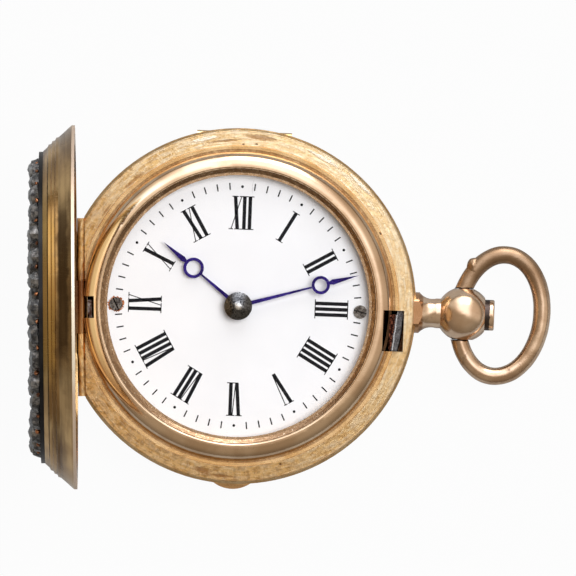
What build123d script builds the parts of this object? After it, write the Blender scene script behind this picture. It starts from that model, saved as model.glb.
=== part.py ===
from build123d import *
import math
import os

# Lady's pendant watch with a hinged front cover, key wound and key set from the back.
# Millimetres. The origin is on the case axis at the back cover's outer face, +Z comes
# out of the dial, +X points to the pendant and +Y to twelve o'clock. The front cover
# stands open by a quarter turn, as photographed.

# Clearances
seat_gap = 0.05
running_gap = 0.02
side_gap = 0.10
overrun = 0.6

# Case, from the photograph: the ring outside the dial is 30 mm across
case_radius = 15.0
cover_wall = 0.40
back_face_inset = 2.0
back_height = 2.4
rim_seat_width = 0.5
waist_depth = 0.35
plain_edge = 0.35
edge_chamfer = 0.25
ring_fall = 0.10
flat_ring_width = 1.50
step_ring_width = 0.25
groove_width = 0.22
step_ring_height = 0.10
groove_depth = 0.20
movement_ledge_width = 0.65
lip_length = 3.2
lip_reach = 0.45
lip_height = 0.45

# Front cover, closed height measured from its rim
cover_overhang = 0.25
cover_depth = 2.65
cover_flank_width = 2.15
cover_rim_height = 0.26
cover_flange_width = 1.55
cover_flange_height = 0.20
reed_count = 3
reed_height = 0.07
reed_start_share = 0.45
reed_end_share = 0.85
enamel_height = 0.35

# Rose-cut stones of the front cover
stone_field_margin = 0.35
stone_pitch = 2.1
stone_rows = 5
centre_stone_radius = 1.9
collet_gap = 0.12
collet_height = 0.70
collet_wall = 0.16
collet_taper_share = 0.88
stone_seat_height = 0.38
stone_girdle_share = 0.62
stone_height = 0.74
stone_crown_share = 0.55
stone_sides = 6

# Front hinge, turned a little from twelve o'clock as photographed
front_hinge_turn = 2.5
front_hinge_inset = 1.8
front_hinge_drop = 0.35
front_flat_gap = 0.30
knuckle_radius = 0.33
knuckle_relief = 0.42
hinge_pin_radius = 0.14
front_hinge_share = 1.0
front_lid_knuckle = 4.4

# Back cover and inner dust cover hinges at twelve o'clock
back_hinge_inset = 0.60
back_hinge_rise = 0.25
back_hinge_length = 8.0
back_cover_knuckle = 3.4
cuvette_hinge_inset = 1.70
cuvette_hinge_drop = 0.25
cuvette_hinge_length = 5.0
cuvette_knuckle = 2.2
cuvette_knuckle_radius = 0.22
cuvette_pin_radius = 0.09
cuvette_gap = 0.20
cuvette_thickness = 0.22
cuvette_face_inset = 2.50
cuvette_rim_inset = 2.05
cuvette_seat_inset = 2.60
cuvette_seat_depth = 0.85
key_hole_radius = 1.15

# Bezel and glass
bezel_width = 1.99
bezel_shoulder_width = 1.23
bezel_crown_width = 0.59
bezel_height = 1.45
bezel_flank_height = 0.35
bezel_crown_bulge = 0.07
bezel_collar_depth = 0.40
bezel_collar_wall = 0.26
glass_ledge_width = 0.46
glass_ledge_height = 0.90
glass_thickness = 0.30
glass_rise = 0.55

# Pendant, push piece and bow
ball_radius = 2.3
ball_seat = 2.3
ball_flat = 2.14
ball_face = 1.8
flange_radius = 1.72
flange_height = 0.25
neck_radius = 1.25
neck_length = 1.70
neck_shoulder_length = 0.65
neck_shoulder_radius = 1.38
push_radius = 1.30
push_stem_radius = 0.75
push_proud = 0.80
push_travel = 0.50
push_edge = 0.15
counterbore_depth = 1.05
bow_setback = 3.25
bow_half_width = 3.39
bow_half_length = 5.14
bow_end_radius = 2.5
bow_wire_radius = 0.74
bow_pin_radius = 0.45
bow_pin_end = 1.45

# Lock spring, whose catch holds the front cover, and lift spring, which raises it
lock_pivot_angle = -48.0
lock_pivot_inset = 1.80
lock_outer_inset = 1.10
lock_strip_width = 0.45
lock_strip_end_angle = 4.5
lock_strip_bottom = 3.3
lock_strip_height = 1.6
catch_inner_inset = 2.20
catch_low_side = -3.25
catch_high_side = -0.25
catch_rise = 0.62
catch_nose_reach = 0.20
catch_nose_height = 0.18
catch_slot_inset = 2.75
catch_slot_high_side = 0.10
lock_pocket_inner_inset = 2.60
lock_pocket_outer_inset = 1.00
lock_pocket_end_turn = 1.5
pocket_roof_gap = 0.25
spring_eye_radius = 0.68
spring_eye_height = 0.60
spring_screw_radius = 0.22
spring_screw_head_radius = 0.48
spring_screw_head_height = 0.30
spring_screw_grip = 0.22
lift_pivot_turn = 50.0
lift_pivot_inset = 2.05
lift_inner_inset = 2.65
lift_strip_width = 0.25
lift_strip_height = 1.4
lift_tip_inset = 2.30
lift_tip_half_width = 0.60
lift_notch_half_width = 0.92
lift_pocket_inner_inset = 2.85
lift_pocket_outer_inset = 2.22
lift_pocket_lead_turn = 4.0

# Levels of the movement, from the dust cover towards the dial
index_gap = 0.22
index_thickness = 0.17
bridge_thickness = 0.60
train_height = 1.95
plate_thickness = 1.10
motion_recess_depth = 0.65
dial_base_thickness = 0.20
dial_enamel_thickness = 0.40
dial_bezel_gap = 0.10
dial_margin = 0.20
bore_margin = 0.61
plate_gap = 0.03
dial_hole_radius = 0.85

# Radii and reaches worked out from the case, so that all pieces grow with it
back_face_radius = case_radius - back_face_inset
step_ring_outer = case_radius - flat_ring_width
step_ring_inner = step_ring_outer - step_ring_width
bezel_radius = step_ring_inner - groove_width
bezel_top_radius = bezel_radius - bezel_shoulder_width
visible_dial_radius = bezel_radius - bezel_width
bezel_crown_radius = visible_dial_radius + bezel_crown_width
cover_radius = case_radius + cover_overhang
cover_face_radius = cover_radius - cover_flank_width
cover_flange_radius = cover_radius - cover_flange_width
enamel_radius = cover_face_radius - seat_gap
stone_field_radius = enamel_radius - stone_field_margin
front_hinge_reach = case_radius - front_hinge_inset
front_hinge_length = front_hinge_share * case_radius
back_hinge_reach = case_radius - back_hinge_inset
cuvette_hinge_reach = case_radius - cuvette_hinge_inset
cuvette_face_radius = case_radius - cuvette_face_inset
cuvette_rim_radius = case_radius - cuvette_rim_inset
cuvette_seat_radius = case_radius - cuvette_seat_inset
neck_reach = case_radius + neck_length
neck_shoulder = case_radius + neck_shoulder_length
ball_reach = neck_reach + ball_seat
bow_reach = ball_reach + bow_setback
lock_pivot_radius = case_radius - lock_pivot_inset
lock_outer_radius = case_radius - lock_outer_inset
lock_pocket_inner_radius = case_radius - lock_pocket_inner_inset
lock_pocket_outer_radius = case_radius - lock_pocket_outer_inset
catch_inner_reach = case_radius - catch_inner_inset
catch_slot_inner_reach = case_radius - catch_slot_inset
lift_pivot_radius = case_radius - lift_pivot_inset
lift_inner_radius = case_radius - lift_inner_inset
lift_tip_reach = case_radius - lift_tip_inset
lift_pocket_inner_radius = case_radius - lift_pocket_inner_inset
lift_pocket_outer_radius = case_radius - lift_pocket_outer_inset
dial_radius = visible_dial_radius + dial_margin
bore_radius = dial_radius + bore_margin
plate_radius = bore_radius - plate_gap

# The movement's plan grows with the plate: its barrel always ends the same share inside the edge
barrel_teeth = 80
centre_leaves = 10
plan_module = 0.12
plan_margin = 1.512
tooth_addendum_share = 0.9
plan_radius = plan_module * ((barrel_teeth + centre_leaves) / 2 + barrel_teeth / 2 + tooth_addendum_share) + plan_margin
calibre = plate_radius / plan_radius

# Train: teeth, modules and the direction from each arbor to the next
barrel_module = plan_module * calibre
barrel_direction = 90.0
centre_teeth = 80
third_leaves = 10
centre_module = 0.09 * calibre
third_direction = -75.0
third_teeth = 75
fourth_leaves = 10
third_module = 0.08 * calibre
fourth_direction = 192.0
fourth_teeth = 70
escape_leaves = 7
fourth_module = 0.075 * calibre
escape_direction = 189.5
escape_teeth = 15
escape_radius = 1.75 * calibre
escape_pillar_height = 0.34
escape_tooth_height = 0.15
escape_rim_width = 0.25 * calibre
escape_pillar_radius = 0.09 * calibre
escape_heel_inset = 0.06 * calibre
balance_direction = 134.5
cannon_leaves = 12
minute_teeth = 36
cannon_module = 0.10 * calibre
minute_direction = -20.0
minute_leaves = 10
hour_teeth = 40
tooth_dedendum_share = 1.25
tooth_root_share = 0.24
tooth_tip_share = 0.09
wheel_rim_modules_share = 4.0
wheel_arms = 4
wheel_arm_width = 0.35 * calibre
wheel_thickness = 0.13
hub_radius = 0.42 * calibre
arbor_radius = 0.20 * calibre
pivot_radius = 0.09 * calibre
pivot_length = 0.38
shake = 0.05

# Barrel, its arbor, winding click and ratchet
drum_wall = 0.25 * calibre
drum_clearance = 0.35
drum_cover_thickness = 0.18
drum_floor_thickness = 0.22
drum_tooth_thickness = 0.25
drum_tooth_inset = 0.42 * calibre
barrel_arbor_radius = 0.65 * calibre
barrel_core_radius = 1.05 * calibre
square_side = 0.90 * calibre
barrel_foot_pivot_radius = 0.30 * calibre
ratchet_radius = 1.90 * calibre
ratchet_teeth = 24
ratchet_tooth_depth = 0.18 * calibre
click_reach = 3.4 * calibre
click_drop = 0.20 * calibre
click_tip_angle = 10.0
click_tip_gap = 0.05
click_hub_radius = 0.42 * calibre
click_screw_radius = 0.16 * calibre
click_screw_head_radius = 0.30 * calibre
click_screw_head_height = 0.12
click_spring_rise = 0.79 * calibre
click_spring_width = 0.12 * calibre
click_spring_near = 2.5 * calibre
click_spring_far = 5.6 * calibre
click_spring_foot_radius = 0.30 * calibre
mainspring_thickness = 0.14 * calibre
mainspring_pitch = 0.42 * calibre
mainspring_margin = 0.12 * calibre

# Centre pieces
centre_pinion_height = 0.60
centre_tube_radius = 0.46 * calibre
centre_bore_radius = 0.27 * calibre
setting_square_side = 0.90 * calibre
setting_square_height = 0.50
cannon_radius = 0.47 * calibre
hour_pipe_wall = 0.20 * calibre
hour_hand_gap = 0.25
minute_hand_gap = 0.20
hand_thickness = 0.15
cap_radius = 1.18 * calibre
cap_height = 0.45
cap_foot_height = 0.08

# Balance, its spring and index
balance_radius = 3.5 * calibre
balance_rim_width = 0.40 * calibre
balance_rim_height = 0.40
balance_arm_thickness = 0.13
balance_arm_width = 0.45 * calibre
balance_arms = 3
balance_clearance = 0.10
balance_staff_radius = 0.25 * calibre
cylinder_radius = 0.30 * calibre
staff_pivot_radius = 0.07 * calibre
collet_radius = 0.36 * calibre
hairspring_inner_radius = 0.50 * calibre
hairspring_outer_radius = 2.55 * calibre
hairspring_pitch = 0.34 * calibre
hairspring_thickness = 0.05 * calibre
hairspring_height = 0.16
stud_width = 0.40 * calibre
index_ring_width = 0.38 * calibre
index_tail_length = 3.0 * calibre
index_tail_width = 0.28 * calibre
index_arm_width = 0.34 * calibre
curb_pin_radius = 0.06 * calibre
curb_pin_gap = 0.12
jewel_radius = 0.48 * calibre
jewel_thickness = 0.28
end_piece_radius = 0.60 * calibre

# Bridges: width, run of the bar and start of the foot, from the arbor each one carries
barrel_bridge_width = 2.2 * calibre
barrel_bridge_run = 8.2 * calibre
barrel_bridge_foot = 5.7 * calibre
centre_bridge_width = 1.8 * calibre
centre_bridge_run = 9.9 * calibre
centre_bridge_foot = 6.0 * calibre
centre_bridge_direction = -5.0
third_bridge_width = 1.6 * calibre
third_bridge_run = 6.0 * calibre
third_bridge_foot = 3.6 * calibre
third_bridge_direction = -50.0
fourth_bridge_width = 1.6 * calibre
fourth_bridge_run = 4.95 * calibre
fourth_bridge_foot = 3.1 * calibre
fourth_bridge_direction = -105.0
balance_cock_width = 2.0 * calibre
balance_cock_run = 6.2 * calibre
balance_cock_foot = 3.8 * calibre
balance_cock_direction = 112.0
escape_cock_width = 1.3 * calibre
escape_cock_run = 3.0 * calibre
escape_cock_foot = 2.2 * calibre
escape_cock_direction = -135.0
escape_cock_thickness = 0.25
bridge_screw_radius = 0.24 * calibre
bridge_screw_head_radius = 0.48 * calibre
bridge_screw_head_height = 0.17
bridge_screw_grip = 0.50
screw_slot_width = 0.12 * calibre
screw_slot_depth = 0.08
flush_head_radius = 0.34 * calibre
flush_head_height = 0.13

# Dial and case screws
dial_screw_inset = 0.74
dial_screw_head_radius = 0.56
dial_screw_head_height = 0.13
dial_screw_shank_radius = 0.22
dial_screw_grip = 0.60
right_dial_screw_angle = -0.7
right_dial_screw_slot = -15.0
left_dial_screw_angle = 181.1
left_dial_screw_slot = -63.0
case_screw_radius = 0.15
case_screw_head_radius = 0.26
case_screw_head_height = 0.18
case_screw_grip = 0.80
case_screw_angles = (40.0, 220.0)

# Hands: how far their tips stop short of the bezel, and how far their rings lie behind the tips
hour_tip_inset = 2.71
hour_ring_setback = 3.39
hour_ring_radius = 0.865
hour_hand_direction = 141.5
minute_tip_inset = 0.54
minute_ring_setback = 3.32
minute_ring_radius = 0.77
minute_hand_direction = 16.3
ring_wire = 0.25
hand_boss_radius = 1.0
shank_boss_width = 0.38
shank_ring_width = 0.14
leaf_width = 0.46
leaf_shoulder_share = 0.16
leaf_root_width = 0.16

# Reaches that follow from the dial
dial_screw_radius = visible_dial_radius - dial_screw_inset
hour_hand_length = visible_dial_radius - hour_tip_inset
hour_ring_reach = hour_hand_length - hour_ring_setback
minute_hand_length = visible_dial_radius - minute_tip_inset
minute_ring_reach = minute_hand_length - minute_ring_setback

# Levels worked out from the sizes above
cuvette_bottom = cover_wall + cuvette_gap
cuvette_top = cuvette_bottom + cuvette_thickness
index_bottom = cuvette_top + index_gap
index_top = index_bottom + index_thickness
bridge_bottom = index_top + shake
bridge_top = bridge_bottom + bridge_thickness
plate_bottom = bridge_top + train_height
plate_top = plate_bottom + plate_thickness
recess_floor = plate_top - motion_recess_depth
dial_base_top = plate_top + dial_base_thickness
dial_top = dial_base_top + dial_enamel_thickness
seat_level = dial_top + dial_bezel_gap
band_bottom = back_height + seat_gap
axis_level = (band_bottom + seat_level) / 2
cover_bottom = seat_level + seat_gap
cover_top = cover_bottom + cover_depth
enamel_top = cover_top + enamel_height
front_hinge_level = cover_bottom - front_hinge_drop
back_hinge_level = band_bottom + back_hinge_rise
cuvette_hinge_level = band_bottom - cuvette_hinge_drop
ledge_radius = bore_radius - movement_ledge_width
pocket_roof = seat_level - pocket_roof_gap - spring_screw_grip
case_screw_reach = plate_radius - case_screw_head_radius


def along(start, direction, distance):
    angle = math.radians(direction)
    return (start[0] + distance * math.cos(angle), start[1] + distance * math.sin(angle))


def gear_distance(wheel_teeth, pinion_leaves, module):
    return (wheel_teeth + pinion_leaves) * module / 2


# Plan of the arbors, seen from the dial
centre_at = (0, 0)
barrel_at = along(centre_at, barrel_direction, gear_distance(barrel_teeth, centre_leaves, barrel_module))
third_at = along(centre_at, third_direction, gear_distance(centre_teeth, third_leaves, centre_module))
fourth_at = along(third_at, fourth_direction, gear_distance(third_teeth, fourth_leaves, third_module))
escape_at = along(fourth_at, escape_direction, gear_distance(fourth_teeth, escape_leaves, fourth_module))
balance_reach = escape_radius + cylinder_radius + seat_gap
balance_at = along(escape_at, balance_direction, balance_reach)
minute_reach = gear_distance(cannon_leaves, minute_teeth, cannon_module)
minute_at = along(centre_at, minute_direction, minute_reach)
hour_module = 2 * minute_reach / (minute_leaves + hour_teeth)

# Levels of the train between the bridges and the plate
centre_wheel_bottom = bridge_top + 2 * shake
centre_wheel_top = centre_wheel_bottom + wheel_thickness
drum_bottom = centre_wheel_top + drum_clearance / 2
drum_top = plate_bottom - drum_clearance / 2
drum_radius = barrel_teeth * barrel_module / 2 - drum_tooth_inset
balance_bottom = bridge_top + balance_clearance
balance_top = balance_bottom + balance_rim_height
escape_cock_bottom = balance_top + balance_clearance
escape_cock_top = escape_cock_bottom + escape_cock_thickness
third_wheel_bottom = escape_cock_bottom + shake
fourth_wheel_bottom = escape_cock_top + 3 * shake
escape_plane_top = plate_bottom - 4 * shake
escape_plane_bottom = escape_plane_top - wheel_thickness
escape_tooth_bottom = escape_plane_bottom - escape_pillar_height
hairspring_bottom = balance_bottom + shake / 2
cannon_wheel_bottom = recess_floor + shake
minute_wheel_bottom = cannon_wheel_bottom + shake / 2
hour_wheel_bottom = minute_wheel_bottom + 2 * wheel_thickness + shake
hour_hand_bottom = dial_top + hour_hand_gap
hour_hand_top = hour_hand_bottom + hand_thickness
minute_hand_bottom = hour_hand_top + minute_hand_gap
minute_hand_top = minute_hand_bottom + hand_thickness
setting_square_bottom = bridge_bottom - shake - setting_square_height


# Shapes used by many pieces
def disc(radius, bottom, top, at=(0, 0)):
    base = (Align.CENTER, Align.CENTER, Align.MIN)
    return Pos(at[0], at[1], bottom) * Cylinder(radius, top - bottom, align=base)


def ring(outer, inner, bottom, top, at=(0, 0)):
    return disc(outer, bottom, top, at) - disc(inner, bottom, top, at)


def block(x, y, z):
    corner = (Align.MIN, Align.MIN, Align.MIN)
    return Pos(x[0], y[0], z[0]) * Box(x[1] - x[0], y[1] - y[0], z[1] - z[0], align=corner)


def turned(*points):
    return revolve(Plane.XZ * make_face(Polyline(*points, close=True)), Axis.Z)


def plate_of(points, bottom, top):
    return Pos(0, 0, bottom) * extrude(make_face(Polyline(*points, close=True)), top - bottom)


def dome_arc(radius, foot, rise):
    # arc from the rim of a dome to its top on the axis
    sphere = (radius ** 2 + rise ** 2) / (2 * rise)
    half = math.asin(radius / sphere) / 2
    middle = (sphere * math.sin(half), foot + rise - sphere * (1 - math.cos(half)))
    return ThreePointArc((radius, foot), middle, (0, foot + rise))


def sector(outer, inner, start_angle, end_angle, bottom, top):
    # part of a ring between two angles, bounded by arcs
    middle = (start_angle + end_angle) / 2
    far = [along(centre_at, angle, outer) for angle in (start_angle, middle, end_angle)]
    near = [along(centre_at, angle, inner) for angle in (end_angle, middle, start_angle)]
    edges = [
        ThreePointArc(*far),
        Line(far[2], near[0]),
        ThreePointArc(*near),
        Line(near[2], far[0]),
    ]
    return Pos(0, 0, bottom) * extrude(make_face(edges), top - bottom)


def rod(radius, near, far, direction, place):
    # round bar along X or Y between two coordinates, through a place
    half = (near + far) / 2
    turn = Rot(0, 90, 0) if direction == "x" else Rot(90, 0, 0)
    shift = Pos(half, 0, 0) if direction == "x" else Pos(0, half, 0)
    return Pos(*place) * shift * turn * Cylinder(radius, far - near)


def toothed_disc(teeth, module, bottom, top, first_angle):
    pitch = teeth * module / 2
    tip = pitch + tooth_addendum_share * module
    root = pitch - tooth_dedendum_share * module
    corners = (
        (-tooth_root_share, root),
        (-tooth_tip_share, tip),
        (tooth_tip_share, tip),
        (tooth_root_share, root),
    )
    points = []
    for tooth in range(teeth):
        for share, radius in corners:
            points.append(along(centre_at, first_angle + 360 * (tooth + share) / teeth, radius))
    return plate_of(points, bottom, top)


def wheel(teeth, module, bottom, mate_direction, bore_radius_=0):
    # crossed-out wheel with a tooth pointing at its mate
    top = bottom + wheel_thickness
    rim = teeth * module / 2 - wheel_rim_modules_share * module
    shape = toothed_disc(teeth, module, bottom, top, mate_direction) - disc(rim, bottom, top)
    shape += disc(hub_radius, bottom, top)
    for arm in range(wheel_arms):
        bar = block((0, rim + module), (-wheel_arm_width / 2, wheel_arm_width / 2), (bottom, top))
        shape += Rot(0, 0, mate_direction + 360 * arm / wheel_arms) * bar
    if bore_radius_:
        shape -= disc(bore_radius_, bottom, top)
    return shape


def pinion(leaves, module, bottom, top, mate_direction):
    # pinion with a gap facing the wheel that drives it
    return toothed_disc(leaves, module, bottom, top, mate_direction + 180 / leaves)


def train_arbor(bottom, top):
    low_pivot = disc(pivot_radius, bottom - pivot_length, bottom)
    high_pivot = disc(pivot_radius, top, top + pivot_length)
    return disc(arbor_radius, bottom, top) + low_pivot + high_pivot


def at_place(place, shape):
    return Pos(place[0], place[1], 0) * shape


def spiral_ribbon(inner, outer, pitch, thickness, bottom, top, end_direction):
    # flat spiral spring that ends at its outer coil in the given direction
    steps_per_turn = 24
    turns = (outer - inner) / pitch
    steps = round(turns * steps_per_turn)
    outside = []
    inside = []
    for step in range(steps + 1):
        share = step / steps
        radius = inner + (outer - inner) * share
        angle = end_direction - 360 * turns * (1 - share)
        outside.append(along(centre_at, angle, radius + thickness / 2))
        inside.append(along(centre_at, angle, radius - thickness / 2))
    return plate_of(outside + inside[::-1], bottom, top)


def screw(head_radius, head_height, shank_radius, shank_length, slot_turn):
    # head below z 0, shank up into the work, slot in the head
    head = disc(head_radius, -head_height, 0)
    slot = block(
        (-head_radius - overrun, head_radius + overrun),
        (-screw_slot_width / 2, screw_slot_width / 2),
        (-head_height - overrun, -head_height + screw_slot_depth),
    )
    return Rot(0, 0, slot_turn) * (head - slot) + disc(shank_radius, 0, shank_length)


# Case band with its hinge knuckles, spring pockets and bores
def front_turn(shape):
    return Rot(0, 0, front_hinge_turn) * shape


def front_hinge_rod(radius, near, far):
    return rod(radius, near, far, "y", (-front_hinge_reach, 0, front_hinge_level))


def back_hinge_rod(radius, near, far):
    return rod(radius, near, far, "x", (0, back_hinge_reach, back_hinge_level))


def cuvette_hinge_rod(radius, near, far):
    return rod(radius, near, far, "x", (0, cuvette_hinge_reach, cuvette_hinge_level))


def band_body():
    waist_radius = case_radius - waist_depth
    low_edge = band_bottom + plain_edge
    ring_edge = seat_level - ring_fall
    chamfer_start = ring_edge - edge_chamfer
    high_edge = chamfer_start - plain_edge
    groove_floor = seat_level - groove_depth
    step_top = seat_level + step_ring_height
    collar_bottom = band_bottom - cuvette_seat_depth
    edges = [
        Line((ledge_radius, collar_bottom), (cuvette_seat_radius, collar_bottom)),
        Line((cuvette_seat_radius, collar_bottom), (cuvette_seat_radius, band_bottom)),
        Line((cuvette_seat_radius, band_bottom), (case_radius, band_bottom)),
        Line((case_radius, band_bottom), (case_radius, low_edge)),
        ThreePointArc((case_radius, low_edge), (waist_radius, axis_level), (case_radius, high_edge)),
        Line((case_radius, high_edge), (case_radius, chamfer_start)),
        Line((case_radius, chamfer_start), (case_radius - edge_chamfer, ring_edge)),
        Line((case_radius - edge_chamfer, ring_edge), (step_ring_outer, seat_level)),
        Line((step_ring_outer, seat_level), (step_ring_outer, step_top)),
        Line((step_ring_outer, step_top), (step_ring_inner, step_top)),
        Line((step_ring_inner, step_top), (step_ring_inner, groove_floor)),
        Line((step_ring_inner, groove_floor), (bezel_radius, groove_floor)),
        Line((bezel_radius, groove_floor), (bezel_radius, seat_level)),
        Line((bezel_radius, seat_level), (bore_radius, seat_level)),
        Line((bore_radius, seat_level), (bore_radius, plate_bottom)),
        Line((bore_radius, plate_bottom), (ledge_radius, plate_bottom)),
        Line((ledge_radius, plate_bottom), (ledge_radius, collar_bottom)),
    ]
    return revolve(Plane.XZ * make_face(edges), Axis.Z)


def catch_slot():
    return block(
        (catch_slot_inner_reach, lock_pocket_outer_radius),
        (catch_low_side - side_gap, catch_slot_high_side),
        (lock_strip_bottom, seat_level + bezel_height),
    )


def lift_notch():
    slot = block(
        (-case_radius, -lift_pocket_inner_radius),
        (-lift_notch_half_width, lift_notch_half_width),
        (lock_strip_bottom, seat_level + bezel_height),
    )
    return front_turn(slot - disc(lift_pocket_inner_radius, lock_strip_bottom, seat_level + bezel_height))


def lift_pivot_angle():
    return 180 + front_hinge_turn + lift_pivot_turn


def lock_pivot():
    return along(centre_at, lock_pivot_angle, lock_pivot_radius)


def lift_pivot():
    return along(centre_at, lift_pivot_angle(), lift_pivot_radius)


def spring_pockets():
    bottom = band_bottom - overrun
    eye_room = spring_eye_radius + side_gap
    lock_room = sector(
        lock_pocket_outer_radius, lock_pocket_inner_radius,
        lock_pivot_angle, lock_strip_end_angle + lock_pocket_end_turn, bottom, pocket_roof,
    )
    lock_room += disc(eye_room, bottom, pocket_roof, lock_pivot())
    lift_room = sector(
        lift_pocket_outer_radius, lift_pocket_inner_radius,
        180 + front_hinge_turn - lift_pocket_lead_turn, lift_pivot_angle(), bottom, pocket_roof,
    )
    lift_room += disc(eye_room, bottom, pocket_roof, lift_pivot())
    return lock_room, lift_room


def case_middle():
    shape = band_body()
    flat = front_hinge_reach - front_flat_gap
    beyond = case_radius + overrun
    whole_height = (band_bottom - overrun, seat_level + overrun)
    shape -= front_turn(block((-beyond, -flat), (-beyond, beyond), whole_height))
    back_cut = back_hinge_reach - knuckle_radius - seat_gap
    cut_top = back_hinge_level + 2 * knuckle_radius + side_gap
    shape -= block((-beyond, beyond), (back_cut, beyond), (band_bottom - overrun, cut_top))
    for pocket in spring_pockets():
        shape -= pocket
    shape -= catch_slot()
    shape -= lift_notch()

    # front hinge: two outer knuckles, and relief for the cover's own in the middle
    half_lid = front_lid_knuckle / 2 + seat_gap
    half_hinge = front_hinge_length / 2
    shape -= front_turn(front_hinge_rod(knuckle_relief, -half_lid, half_lid))
    for near, far in both_sides(half_lid, half_hinge):
        shape += front_turn(front_hinge_rod(knuckle_radius, near, far))
    shape -= front_turn(front_hinge_rod(hinge_pin_radius, -half_hinge, half_hinge))

    # back hinge knuckles, each carried by a lug from the cut face
    half_cover = back_cover_knuckle / 2 + seat_gap
    half_back = back_hinge_length / 2
    for near, far in both_sides(half_cover, half_back):
        shape += back_hinge_rod(knuckle_radius, near, far)
        shape += block(
            (near, far), (back_cut - overrun, back_hinge_reach),
            (band_bottom, back_hinge_level + knuckle_radius),
        )
    shape -= back_hinge_rod(hinge_pin_radius, -half_back, half_back)

    # dust cover hinge knuckles under the band
    half_inner = cuvette_knuckle / 2 + seat_gap
    half_cuvette = cuvette_hinge_length / 2
    lug = (cuvette_hinge_reach - cuvette_knuckle_radius, cuvette_hinge_reach + cuvette_knuckle_radius)
    for near, far in both_sides(half_inner, half_cuvette):
        shape += cuvette_hinge_rod(cuvette_knuckle_radius, near, far)
        shape += block((near, far), lug, (cuvette_hinge_level, band_bottom))
    shape -= cuvette_hinge_rod(cuvette_pin_radius, -half_cuvette, half_cuvette)

    # bore for the push piece, and holes for the spring and case screws
    shape -= rod(push_stem_radius + running_gap, lock_pivot_radius, beyond, "x", (0, 0, axis_level))
    for place in (lock_pivot(), lift_pivot()):
        shape -= disc(spring_screw_radius, pocket_roof, pocket_roof + spring_screw_grip, place)
    for angle in case_screw_angles:
        place = along(centre_at, angle, case_screw_reach)
        shape -= disc(case_screw_radius, plate_bottom - case_screw_grip, plate_bottom, place)
    return shape


def both_sides(inner_half, outer_half):
    return ((-outer_half, -inner_half), (inner_half, outer_half))


def hinge_pin(rod_maker, radius, length):
    return rod_maker(radius, -length / 2, length / 2)


# Bezel and glass
def bezel():
    top = seat_level + bezel_height
    ledge = seat_level + glass_ledge_height
    glass_edge = visible_dial_radius + glass_ledge_width
    collar_outer = bore_radius - running_gap
    collar_inner = collar_outer - bezel_collar_wall
    collar_bottom = seat_level - bezel_collar_depth
    flank_top = seat_level + bezel_flank_height
    inner_top = ledge + glass_thickness
    crown = (bezel_top_radius, top)
    shoulder = (bezel_crown_radius, inner_top)
    inside_bow = (
        (bezel_crown_radius + bezel_top_radius) / 2 - bezel_crown_bulge,
        (inner_top + top) / 2 + bezel_crown_bulge,
    )
    outside_bow = (
        bezel_top_radius + (bezel_radius - bezel_top_radius) * math.sqrt(0.5),
        flank_top + (top - flank_top) * math.sqrt(0.5),
    )
    edges = [
        Line((visible_dial_radius, seat_level), (visible_dial_radius, ledge)),
        Line((visible_dial_radius, ledge), (glass_edge, ledge)),
        Line((glass_edge, ledge), (glass_edge, inner_top)),
        Line((glass_edge, inner_top), shoulder),
        ThreePointArc(shoulder, inside_bow, crown),
        ThreePointArc(crown, outside_bow, (bezel_radius, flank_top)),
        Line((bezel_radius, flank_top), (bezel_radius, seat_level)),
        Line((bezel_radius, seat_level), (collar_outer, seat_level)),
        Line((collar_outer, seat_level), (collar_outer, collar_bottom)),
        Line((collar_outer, collar_bottom), (collar_inner, collar_bottom)),
        Line((collar_inner, collar_bottom), (collar_inner, seat_level)),
        Line((collar_inner, seat_level), (visible_dial_radius, seat_level)),
    ]
    return revolve(Plane.XZ * make_face(edges), Axis.Z) - catch_slot() - lift_notch()


def crystal():
    radius = visible_dial_radius + glass_ledge_width - running_gap
    bottom = seat_level + glass_ledge_height
    top = bottom + glass_thickness
    edges = [
        Line((0, bottom + glass_rise), (0, top + glass_rise)),
        dome_arc(radius, top, glass_rise),
        Line((radius, top), (radius, bottom)),
        dome_arc(radius, bottom, glass_rise),
    ]
    return revolve(Plane.XZ * make_face(edges), Axis.Z)


# Front cover, modelled closed and then opened about its hinge
def opened(shape):
    place = Pos(-front_hinge_reach, 0, front_hinge_level)
    back = Pos(front_hinge_reach, 0, -front_hinge_level)
    return front_turn(place * Rot(0, -90, 0) * back * shape)


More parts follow.
